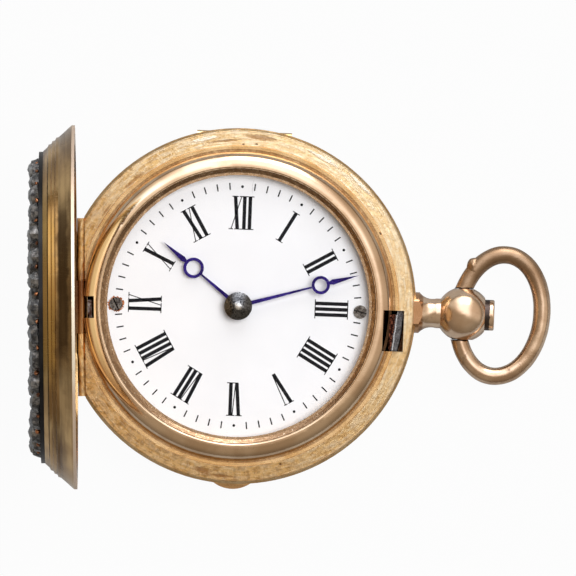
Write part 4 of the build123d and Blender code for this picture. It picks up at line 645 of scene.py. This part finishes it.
# What makes each finish, and which CAD nodes take it
finishPlans = {
    "caseGold": (caseGold, "case_middle front_hinge_pin"),
    "insideGold": (plainGold, "back_cover cuvette back_hinge_pin cuvette_hinge_pin"),
    "bezelGold": (bezelGold, "bezel"),
    "coverGold": (coverGold, "front_cover"),
    "pendantGold": (plainGold, "pendant"),
    "pushGold": (pushGold, "push_piece"),
    "bowGold": (plainGold, "bow"),
    "capSteel": (capSteel, "centre_cap"),
    "dialWhite": (dialWhite, "dial_enamel"),
    "printBlack": (printBlack, ""),
    "coverBlack": (glazed, "cover_enamel"),
    "ruby": (glazed, "jewels end_piece"),
    "stoneGrey": (stoneGrey, "cover_stones"),
    "darkSilver": (darkSilver, "stone_collets"),
    "watchGlass": (watchGlass, "crystal"),
    "blockSteel": (workedMetal, "lift_spring"),
    "catchSteel": (catchSteel, "lock_spring"),
    "screwSteel": (screwSteel, "dial_screws"),
    "polishedSteel": (workedMetal, "case_spring_screws ratchet_wheel click escape_wheel balance_staff "
                      "regulator barrel_arbor setting_arbor hairspring_stud cannon_pinion"),
    "springSteel": (workedMetal, "click_spring mainspring"),
    "bluedSteel": (workedMetal, "hour_hand minute_hand hairspring case_screws bridge_screws"),
    "giltBrass": (workedMetal, "main_plate barrel_bridge centre_bridge third_bridge fourth_bridge "
                  "escape_cock balance_cock"),
    "cutBrass": (workedMetal, "barrel barrel_cover centre_wheel third_wheel fourth_wheel minute_wheel "
                 "hour_wheel balance_wheel"),
    "dialCopper": (workedMetal, "dial_base"),
    "chipCopper": (workedMetal, ""),
    "footCopper": (workedMetal, ""),
}
finishes = {}
for finishName, (makeFinish, members) in finishPlans.items():
    finishes[finishName] = makeFinish(finishName)
    for member in members.split():
        nodes[member].data.materials.clear()
        nodes[member].data.materials.append(finishes[finishName])
print("finishes made:", len(finishes))


def placed(name, data):
    made = bpy.data.objects.new(name, data)
    scene.collection.objects.link(made)
    return made


def pieceFrom(name, verts, faces, finish, body):
    mesh = bpy.data.meshes.new(name)
    mesh.from_pydata([Vector(v) * mm for v in verts], [], faces)
    mesh.materials.append(finishes[finish])
    mesh.validate()
    piece = placed(name, mesh)
    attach(piece, body)
    print(name, "made:", len(mesh.polygons), "faces")


# Numerals of the hours, printed flat on the enamel with their feet towards the centre.
# xLean: how far the heavy stroke of an X leans each way; vFoot: where along its width a V stands
numerals = {
    "foot": 6.45, "top": 9.27, "stroke": 0.30, "pitch": 0.47, "hair": 0.075, "serif": 0.19, "gap": 0.10,
    "vWidth": 0.62, "vFoot": 0.62, "xWidth": 0.84, "xLean": 0.12, "thickness": 0.012, "sunk": 0.004,
    "words": ["XII", "I", "II", "III", "IIII", "V", "VI", "VII", "VIII", "IX", "X", "XI"],
}
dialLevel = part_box("dial_enamel")[1].z / mm


def letterStrokes(word):
    # each stroke: its two ends across and up, and its width; across starts at 0
    low, high = numerals["foot"], numerals["top"]
    wide, thin, serif = numerals["stroke"], numerals["hair"], numerals["serif"]
    short = serif * 0.6
    strokes, across = [], 0

    def addSerif(start, end, level):
        strokes.append((start, level, end, level, thin))

    for letter in word:
        if letter == "I":
            strokes.append((across + wide / 2, low, across + wide / 2, high, wide))
            for level in (low + thin / 2, high - thin / 2):
                addSerif(across - serif, across + wide + serif, level)
            across += numerals["pitch"]
        elif letter == "V":
            span = numerals["vWidth"]
            foot = across + span * numerals["vFoot"]
            strokes.append((foot, low, across + wide / 2, high, wide))
            strokes.append((foot + wide * 0.3, low, across + span + thin, high, thin))
            addSerif(across - short, across + wide + short, high - thin / 2)
            addSerif(across + span - serif * 0.7, across + span + serif, high - thin / 2)
            across += span + numerals["gap"]
        else:
            span, lean = numerals["xWidth"], numerals["xLean"]
            middle = across + span / 2
            strokes.append((middle + lean, low, middle - lean, high, wide))
            strokes.append((across, low, across + span, high, thin))
            for level, side in ((low + thin / 2, -1), (high - thin / 2, 1)):
                light, heavy = middle + side * span / 2, middle - side * lean
                addSerif(light - serif, light + serif, level)
                addSerif(heavy - wide / 2 - short, heavy + wide / 2 + short, level)
            across += span + numerals["gap"]
    return strokes, across - (numerals["pitch"] - wide if word[-1] == "I" else numerals["gap"])


def printNumerals():
    verts, faces = [], []
    for hour, word in enumerate(numerals["words"]):
        strokes, width = letterStrokes(word)
        angle = radians(90 - 30 * hour)
        up = Vector((cos(angle), sin(angle), 0))
        right = Vector((sin(angle), -cos(angle), 0))
        for x0, y0, x1, y1, wide in strokes:
            half = wide / 2
            if abs(y1 - y0) < wide:  # a serif lies across
                corners = [(x0, y0 - half), (x1, y0 - half), (x1, y0 + half), (x0, y0 + half)]
            else:
                corners = [(x0 - half, y0), (x0 + half, y0), (x1 + half, y1), (x1 - half, y1)]
            first = len(verts)
            for height in (dialLevel - numerals["sunk"], dialLevel + numerals["thickness"]):
                for across, rise in corners:
                    spot = right * (across - width / 2) + up * rise
                    verts.append((spot.x, spot.y, height))
            faces.append([first + i for i in (4, 5, 6, 7)])
            faces.append([first + i for i in (3, 2, 1, 0)])
            for i in range(4):
                j = (i + 1) % 4
                faces.append([first + i, first + j, first + 4 + j, first + 4 + i])
    pieceFrom("hourNumerals", verts, faces, "printBlack", "case")


printNumerals()


# Geometry Nodes: trees with named inputs, grown on an object and made a plain mesh
class Growth(Board):
    def __init__(self, name, settings):
        super().__init__(bpy.data.node_groups.new(name, "GeometryNodeTree"))
        kinds = {label: "Int" if isinstance(value, int) else "Float" for label, value in settings.items()}
        for label, kind in {"Geometry": "Geometry", **kinds, "Material": "Material"}.items():
            self.tree.interface.new_socket(name=label, in_out="INPUT", socket_type="NodeSocket" + kind)
        self.tree.interface.new_socket(name="Geometry", in_out="OUTPUT", socket_type="NodeSocketGeometry")
        self.inner = self.tree.nodes.new("NodeGroupInput")

    def __getitem__(self, label):
        # what the tree is given under this name
        return Wire(self, self.inner.outputs[label])

    def together(self, parts):
        whole = self.tree.nodes.new("GeometryNodeJoinGeometry")
        for part in parts:
            self.tree.links.new(part.socket, whole.inputs[0])
        return Wire(self, whole.outputs[0])

    def onCircle(self, angle, reach, level):
        # place at an angle and a reach from the axis
        return self.joined(self.maths("COSINE", angle) * reach, self.maths("SINE", angle) * reach, level)

    def strewn(self, count, place, shape, values):
        # copies of a shape at count places
        points = self.node("GeometryNodePoints", {"Count": count, "Position": place})
        return self.node("GeometryNodeInstanceOnPoints", {"Points": points, "Instance": shape, **values})

    def moved(self, geometry, place, scale=(1, 1, 1), turn=(0, 0, 0)):
        return self.node("GeometryNodeTransform", {
            "Geometry": geometry, "Translation": [c * mm for c in place], "Scale": scale,
            "Rotation": [radians(a) for a in turn],
        })

    def crumpled(self, geometry, size, amount, seed):
        # every point pushed a little its own way, by noise whose lumps are size millimetres across
        values = {"W": seed, "Scale": 1 / (size * mm), "Detail": 2}
        noise = self.node("ShaderNodeTexNoise", values, {"noise_dimensions": "4D"}, "Color")
        shift = self.node("ShaderNodeVectorMath", {0: noise, 1: (0.5, 0.5, 0.5)}, {"operation": "SUBTRACT"})
        shift = self.node("ShaderNodeVectorMath", {0: shift, "Scale": amount}, {"operation": "SCALE"})
        return self.node("GeometryNodeSetPosition", {"Geometry": geometry, "Offset": shift})

    def closed(self, geometry):
        solid = self.node("GeometryNodeRealizeInstances", {0: geometry})
        values = {"Geometry": solid, "Material": self["Material"]}
        painted = self.node("GeometryNodeSetMaterial", values)
        self.node("NodeGroupOutput", {0: painted}, out=None)
        return self.tree


def grown(name, tree, settings, finish, body, replaced=(), place=None):
    piece = placed(name, bpy.data.meshes.new(name))
    modifier = piece.modifiers.new(name, "NODES")
    modifier.node_group = tree
    sockets = {s.name: s.identifier for s in tree.interface.items_tree if s.in_out == "INPUT"}
    for label, value in {**settings, "Material": finishes[finish]}.items():
        modifier[sockets[label]] = value
    bpy.context.view_layer.update()
    evaluated = piece.evaluated_get(bpy.context.evaluated_depsgraph_get())
    mesh = bpy.data.meshes.new_from_object(evaluated)
    piece.modifiers.clear()
    piece.data = mesh
    mesh.name = name
    if place:
        mesh.transform(place)
    if replaced:
        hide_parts(*replaced)
    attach(piece, body)
    print(name, "grown:", len(mesh.polygons), "faces")


# Minute track: a stroke for each minute and a dot for each fifth one, but none at the quarters
minuteTrack = {
    "Minutes": 60, "Stroke Middle": 10.10 * mm, "Stroke Length": 0.60 * mm, "Stroke Width": 0.11 * mm,
    "Dot Reach": 10.07 * mm, "Dot Radius": 0.118 * mm, "Thickness": 0.012 * mm,
    "Level": (dialLevel + 0.004) * mm,
}


def minuteTree():
    tree = Growth("minuteTree", minuteTrack)
    number = tree.node("GeometryNodeInputIndex")
    angle = number * (2 * pi / 60)

    def compared(operation, value, limit):
        settings = {"data_type": "FLOAT", "operation": operation}
        return tree.node("FunctionNodeCompare", {0: value, 1: limit}, settings)

    fifth = compared("LESS_THAN", number % 5, 0.5)
    quarter = compared("EQUAL", number % 30, 0.0)
    size = tree.joined(tree["Stroke Width"], tree["Stroke Length"], tree["Thickness"])
    bar = tree.node("GeometryNodeMeshCube", {"Size": size})
    spot = tree.node("GeometryNodeMeshCylinder", {
        "Vertices": 20, "Radius": tree["Dot Radius"], "Depth": tree["Thickness"],
    })
    dots = tree.node("FunctionNodeBooleanMath", {0: fifth, 1: quarter}, {"operation": "NIMPLY"})
    strokes = tree.node("FunctionNodeBooleanMath", {0: fifth}, {"operation": "NOT"})
    marks = []
    for shape, reach, chosen in ((bar, "Stroke Middle", strokes), (spot, "Dot Reach", dots)):
        place = tree.onCircle(angle, tree[reach], tree["Level"])
        values = {"Selection": chosen, "Rotation": tree.joined(0, 0, angle - pi / 2)}
        marks.append(tree.strewn(tree["Minutes"], place, shape, values))
    return tree.closed(tree.together(marks))


grown("minuteMarks", minuteTree(), minuteTrack, "printBlack", "case")


# Stones of the front cover: rings of rose-cut stones, each in a crumpled silver setting, with copper
# grains at their feet. They are laid out on the closed cover and then opened with it
stoneField = {"Field Radius": 12.70 * mm, "Pitch": 2.10 * mm, "Level": 8.66 * mm, "Centre": 1.70, "Seed": 7}
stoneRows = 5
stoneShapes = {
    "stone": {"radius": 0.92, "rise": 0.32, "height": 0.80},
    "setting": {"top": 0.80, "foot": 1.02, "depth": 0.66},
    "grain": {"radius": 0.25, "rise": 0.20, "height": 0.9},
}
toHinge = Matrix.Translation((-coverPlace["hingeReach"] * mm, 0, coverPlace["hingeLevel"] * mm))
openedLid = Matrix.Rotation(radians(coverPlace["turn"]), 4, "Z") @ toHinge
openedLid = openedLid @ Matrix.Rotation(radians(-90), 4, "Y") @ toHinge.inverted()


def fieldTree(name, shape, sizes, tilt, crumple, between=0.0, outward=0.0, centre=True):
    # sizes: smallest and largest scale; crumple: size and depth of the wear; between: share of a step
    tree = Growth(name, stoneField)
    index = tree.node("GeometryNodeInputIndex")
    instance = shape(tree)
    parts = []

    def drawn(low, high, seed):
        values = {0: low, 1: high, "Seed": seed}
        return tree.node("FunctionNodeRandomValue", values, {"data_type": "FLOAT_VECTOR"})

    for row in range(stoneRows):
        reach = tree["Field Radius"] - tree["Pitch"] * (row + 0.5)
        count = tree.maths("FLOOR", reach * (2 * pi) / tree["Pitch"])
        angle = (index + (row / 2 + between)) * (2 * pi) / count
        place = tree.onCircle(angle, reach + outward * mm, tree["Level"])
        turn = drawn((-tilt, -tilt, 0), (tilt, tilt, 6.28), tree["Seed"] + row)
        scale = drawn((sizes[0],) * 3, (sizes[1],) * 3, tree["Seed"] + (row + 20))
        parts.append(tree.strewn(count, place, instance, {"Rotation": turn, "Scale": scale}))
    if centre:
        place = tree.joined(0, 0, tree["Level"])
        scale = tree.joined(tree["Centre"], tree["Centre"], 1.0)
        parts.append(tree.strewn(1, place, instance, {"Scale": scale}))
    field = tree.node("GeometryNodeRealizeInstances", {0: tree.together(parts)})
    return tree.closed(tree.crumpled(field, crumple[0], crumple[1] * mm, tree["Seed"]))


def roseStone(tree):
    made = stoneShapes["stone"]
    dome = tree.node("GeometryNodeMeshUVSphere", {
        "Segments": 7, "Rings": 5, "Radius": made["radius"] * mm,
    })
    return tree.moved(dome, (0, 0, made["rise"]), (1, 1, made["height"]))


def stoneSetting(tree):
    made = stoneShapes["setting"]
    return tree.node("GeometryNodeMeshCone", {
        "Vertices": 12, "Side Segments": 2, "Depth": made["depth"] * mm,
        "Radius Top": made["top"] * mm, "Radius Bottom": made["foot"] * mm,
    }, {"fill_type": "NONE"})


def footGrain(tree):
    made = stoneShapes["grain"]
    grain = tree.node("GeometryNodeMeshIcoSphere", {"Radius": made["radius"] * mm, "Subdivisions": 2})
    return tree.moved(grain, (0, 0, made["rise"]), (1, 1, made["height"]))


fieldPieces = {
    "coverStones": {
        "tree": {"shape": roseStone, "sizes": (0.76, 1.0), "tilt": 0.20, "crumple": (0.9, 0.20)},
        "finish": "stoneGrey", "slot": "rose_cut_stone", "replaced": ["cover_stones"],
    },
    "stoneSettings": {
        "tree": {"shape": stoneSetting, "sizes": (0.84, 1.04), "tilt": 0.12, "crumple": (0.45, 0.30)},
        "finish": "darkSilver", "slot": "dark_silver", "replaced": ["stone_collets"],
    },
    "footGrains": {
        "tree": {"shape": footGrain, "sizes": (0.55, 1.15), "tilt": 0.5, "crumple": (0.3, 0.16),
                 "between": 0.5, "outward": 0.55, "centre": False},
        "finish": "footCopper", "slot": "dial_copper", "replaced": [],
    },
}
for pieceName, plan in fieldPieces.items():
    tree = fieldTree(pieceName + "Tree", **plan["tree"])
    grown(pieceName, tree, stoneField, plan["finish"], "front_lid", plan["replaced"], openedLid)


# Bow: round wire bent to an oval, thicker towards its ends, worn and dented, with a lump of old solder
bowWire = {
    "Half Width": 3.53 * mm, "Half Length": 5.14 * mm, "Lean": 0.055, "Wire Radius": 0.73 * mm, "Swell": 0.20,
    "End": 2.155 * mm, "Dent": 0.09 * mm, "Seed": 3,
}
bowPlace = {
    "middle": 22.08, "level": 4.03, "points": 120, "start": 0.31, "swell": (0.70, 0.96), "dentSize": 1.6,
    "filedTo": 21.0, "pin": (19.0, 1.90), "pinRadius": 0.45, "pinLength": 0.90,
    "solder": (19.72, 3.98, 4.15), "lump": 0.72, "lumpShape": (0.85, 1.20, 0.9), "lumpWear": (0.55, 0.36),
}


def bowTree():
    tree = Growth("bowTree", bowWire)
    share = tree.node("GeometryNodeInputIndex") / (bowPlace["points"] - 1)
    angle = (1 - share * 2) * (pi - bowPlace["start"])
    aside = tree.maths("SINE", angle) * tree["Half Length"]
    beyond = tree.maths("COSINE", angle) * tree["Half Width"] + aside * tree["Lean"]
    place = tree.joined(beyond + bowPlace["middle"] * mm, aside, bowPlace["level"] * mm)
    line = tree.node("GeometryNodeMeshLine", {"Count": bowPlace["points"]})
    line = tree.node("GeometryNodeSetPosition", {"Geometry": line, "Position": place})
    path = tree.node("GeometryNodeMeshToCurve", {0: line})
    along = abs(tree.node("GeometryNodeSplineParameter", out="Factor") * 2 - 1)
    thick = along.band(*bowPlace["swell"]) * tree["Swell"] + 1
    path = tree.node("GeometryNodeSetCurveRadius", {"Curve": path, "Radius": thick})
    values = {"Resolution": 28, "Radius": tree["Wire Radius"]}
    section = tree.node("GeometryNodeCurvePrimitiveCircle", values)
    values = {"Curve": path, "Profile Curve": section, "Fill Caps": True}
    wire = tree.node("GeometryNodeCurveToMesh", values)
    wire = tree.crumpled(wire, bowPlace["dentSize"], tree["Dent"], tree["Seed"])
    # both ends are filed flat against the ball
    x, y, z = tree.parts(tree.node("GeometryNodeInputPosition"))
    atBall = x.fade(bowPlace["filedTo"] * mm, (bowPlace["filedTo"] + 0.3) * mm)
    outwards = abs(y) + (tree.maths("MAXIMUM", abs(y), tree["End"]) - abs(y)) * atBall
    filed = tree.joined(x, tree.maths("SIGN", y) * outwards, z)
    wire = tree.node("GeometryNodeSetPosition", {"Geometry": wire, "Position": filed})
    pin = tree.node("GeometryNodeMeshCylinder", {
        "Vertices": 20, "Radius": bowPlace["pinRadius"] * mm, "Depth": bowPlace["pinLength"] * mm,
    })
    pinAt, pinReach = bowPlace["pin"]
    pins = [tree.moved(pin, (pinAt, way * pinReach, bowPlace["level"]), turn=(90, 0, 0)) for way in (1, -1)]
    lump = tree.node("GeometryNodeMeshIcoSphere", {"Radius": bowPlace["lump"] * mm, "Subdivisions": 4})
    lump = tree.moved(lump, bowPlace["solder"], bowPlace["lumpShape"])
    wearSize, wear = bowPlace["lumpWear"]
    lump = tree.crumpled(lump, wearSize, wear * mm, tree["Seed"])
    whole = tree.together([wire, lump, *pins])
    return tree.closed(tree.node("GeometryNodeSetShadeSmooth", {"Geometry": whole}))


grown("bowRing", bowTree(), bowWire, "bowGold", "bow_body", ["bow"])


# Chipped rim: copper laid bare round the left dial screw, where the enamel has broken away
chippedRim = {
    "angle": 181.1, "reach": 10.30, "inner": 0.50, "outer": 0.66, "ragged": 0.09, "points": 64,
    "thickness": 0.012, "sunk": 0.004, "seed": 5,
}


def chipRim():
    dice = random.Random(chippedRim["seed"])
    turn = radians(chippedRim["angle"])
    middle = (chippedRim["reach"] * cos(turn), chippedRim["reach"] * sin(turn))
    inner, low, top = chippedRim["inner"], dialLevel - chippedRim["sunk"], dialLevel + chippedRim["thickness"]
    verts, faces, count = [], [], chippedRim["points"]
    for step in range(count):
        angle = 2 * pi * step / count
        torn = chippedRim["outer"] + dice.uniform(-1, 1) * chippedRim["ragged"]
        for reach, height in ((inner, dialLevel), (inner, top), (torn, top), (torn, low)):
            verts.append((middle[0] + reach * cos(angle), middle[1] + reach * sin(angle), height))
    for step in range(count):
        here, there = 4 * step, 4 * ((step + 1) % count)
        for corner in range(3):
            faces.append((here + corner, here + corner + 1, there + corner + 1, there + corner))
    pieceFrom("chippedRim", verts, faces, "chipCopper", "case")


chipRim()


# Camera: long lens, straight above, the watch turned a little clockwise in the picture
view = {
    "distance": 2100, "roll": 2.1, "width": 48.54, "level": 5.6, "right": 4.20, "up": 1.52, "sensor": 36,
    "clip": (0.05, 20),
}


def setCamera():
    lens = bpy.data.cameras.new("photoCamera")
    lens.sensor_width = view["sensor"]
    lens.lens = view["sensor"] * (view["distance"] - view["level"]) / view["width"]
    lens.clip_start, lens.clip_end = view["clip"]
    camera = placed("photoCamera", lens)
    roll = radians(view["roll"])
    right = Vector((cos(roll), sin(roll), 0))
    up = Vector((-sin(roll), cos(roll), 0))
    camera.location = (right * view["right"] + up * view["up"] + Vector((0, 0, view["distance"]))) * mm
    camera.rotation_euler = (0, 0, roll)
    scene.camera = camera


# Studio: white floor, pale sky, a broad lamp overhead and one low at twelve o'clock.
# Reflections see a tent that is bright above twelve o'clock, and a dim warm room on the other sides
studio = {
    "sky": 0.22, "tent": 2.0, "room": 0.40, "warm": (1.0, 0.84, 0.65), "cool": (0.97, 1.0, 1.08),
    "tentEdge": (-0.14, 0.26), "tentRise": (0.05, 0.30), "tentWidth": (0.20, 0.65), "roomLow": 0.55,
    "floorSize": 1600, "floorDrop": 0.01, "floorGlow": 0.96, "floorTint": 0.40, "floorCloud": 0.04,
}
# each lamp: its place, size and power, and whether reflections see it
lamps = {
    "overheadLamp": ((280, 120, 680), 480, 5.2, False),
    "twelveLamp": ((100, 640, 330), 420, 1.6, True),
    "sideLamp": ((620, 60, 420), 260, 0.4, False),
}


def addLamp(name, place, size, power, mirrored):
    light = bpy.data.lights.new(name, "AREA")
    light.size, light.energy = size * mm, power
    lamp = placed(name, light)
    lamp.location = Vector(place) * mm
    lamp.rotation_euler = (-Vector(place)).to_track_quat("-Z", "Y").to_euler()
    lamp.visible_glossy = mirrored


def setWorld():
    world = bpy.data.worlds.new("studioSky")
    scene.world = world
    world.use_nodes = True
    world.node_tree.nodes.clear()
    sky = Board(world.node_tree)
    seenByCamera, mirrored = [
        sky.node("ShaderNodeLightPath", out=kind) for kind in ("Is Camera Ray", "Is Glossy Ray")
    ]
    x, y, z = sky.parts(sky.node("ShaderNodeTexCoord", out="Generated"))
    tent = (y * 0.85 + x * 0.40).band(*studio["tentEdge"]) * z.band(*studio["tentRise"])
    tent = tent * (1 - abs(x).band(*studio["tentWidth"]) * 0.75)
    room = (z.band(0.0, 0.95) * (1 - studio["roomLow"]) + studio["roomLow"]) * studio["room"]
    seen = room * (1 - tent) + tent * studio["tent"]
    tone = sky.mixed(mirrored, (1, 1, 1), sky.mixed(tent, studio["warm"], studio["cool"]))
    strength = mirrored * (seen - studio["sky"]) + studio["sky"]
    strength = seenByCamera * (1 - strength) + strength
    shade = sky.node("ShaderNodeBackground", {0: tone, 1: strength})
    sky.node("ShaderNodeOutputWorld", {0: shade}, out=None)


def layFloor():
    half = studio["floorSize"] / 2
    mesh = bpy.data.meshes.new("floor")
    corners = [(-half, -half), (half, -half), (half, half), (-half, half)]
    mesh.from_pydata([(x * mm, y * mm, -studio["floorDrop"] * mm) for x, y in corners], [], [(0, 1, 2, 3)])
    floor = placed("floor", mesh)
    cloth = Finish("floorWhite")
    low, high = [studio["floorTint"] * (1 + way * studio["floorCloud"]) for way in (-1, 1)]
    tint = cloth.mixed(cloth.grain(40, 2), (low, low, low), (high, high, high))
    matt = cloth.node("ShaderNodeBsdfDiffuse", {0: tint})
    glow = cloth.node("ShaderNodeEmission", {0: (1, 1, 1, 1), 1: 1.0})
    share = cloth.node("ShaderNodeLightPath", out="Is Camera Ray") * studio["floorGlow"]
    surface = cloth.node("ShaderNodeMixShader", {0: share, 1: matt, 2: glow})
    cloth.node("ShaderNodeOutputMaterial", {0: surface}, out=None)
    mesh.materials.append(cloth.material)


setCamera()
for lampName, lamp in lamps.items():
    addLamp(lampName, *lamp)
setWorld()
layFloor()
scene.view_settings.view_transform = "Standard"
print("studio set")
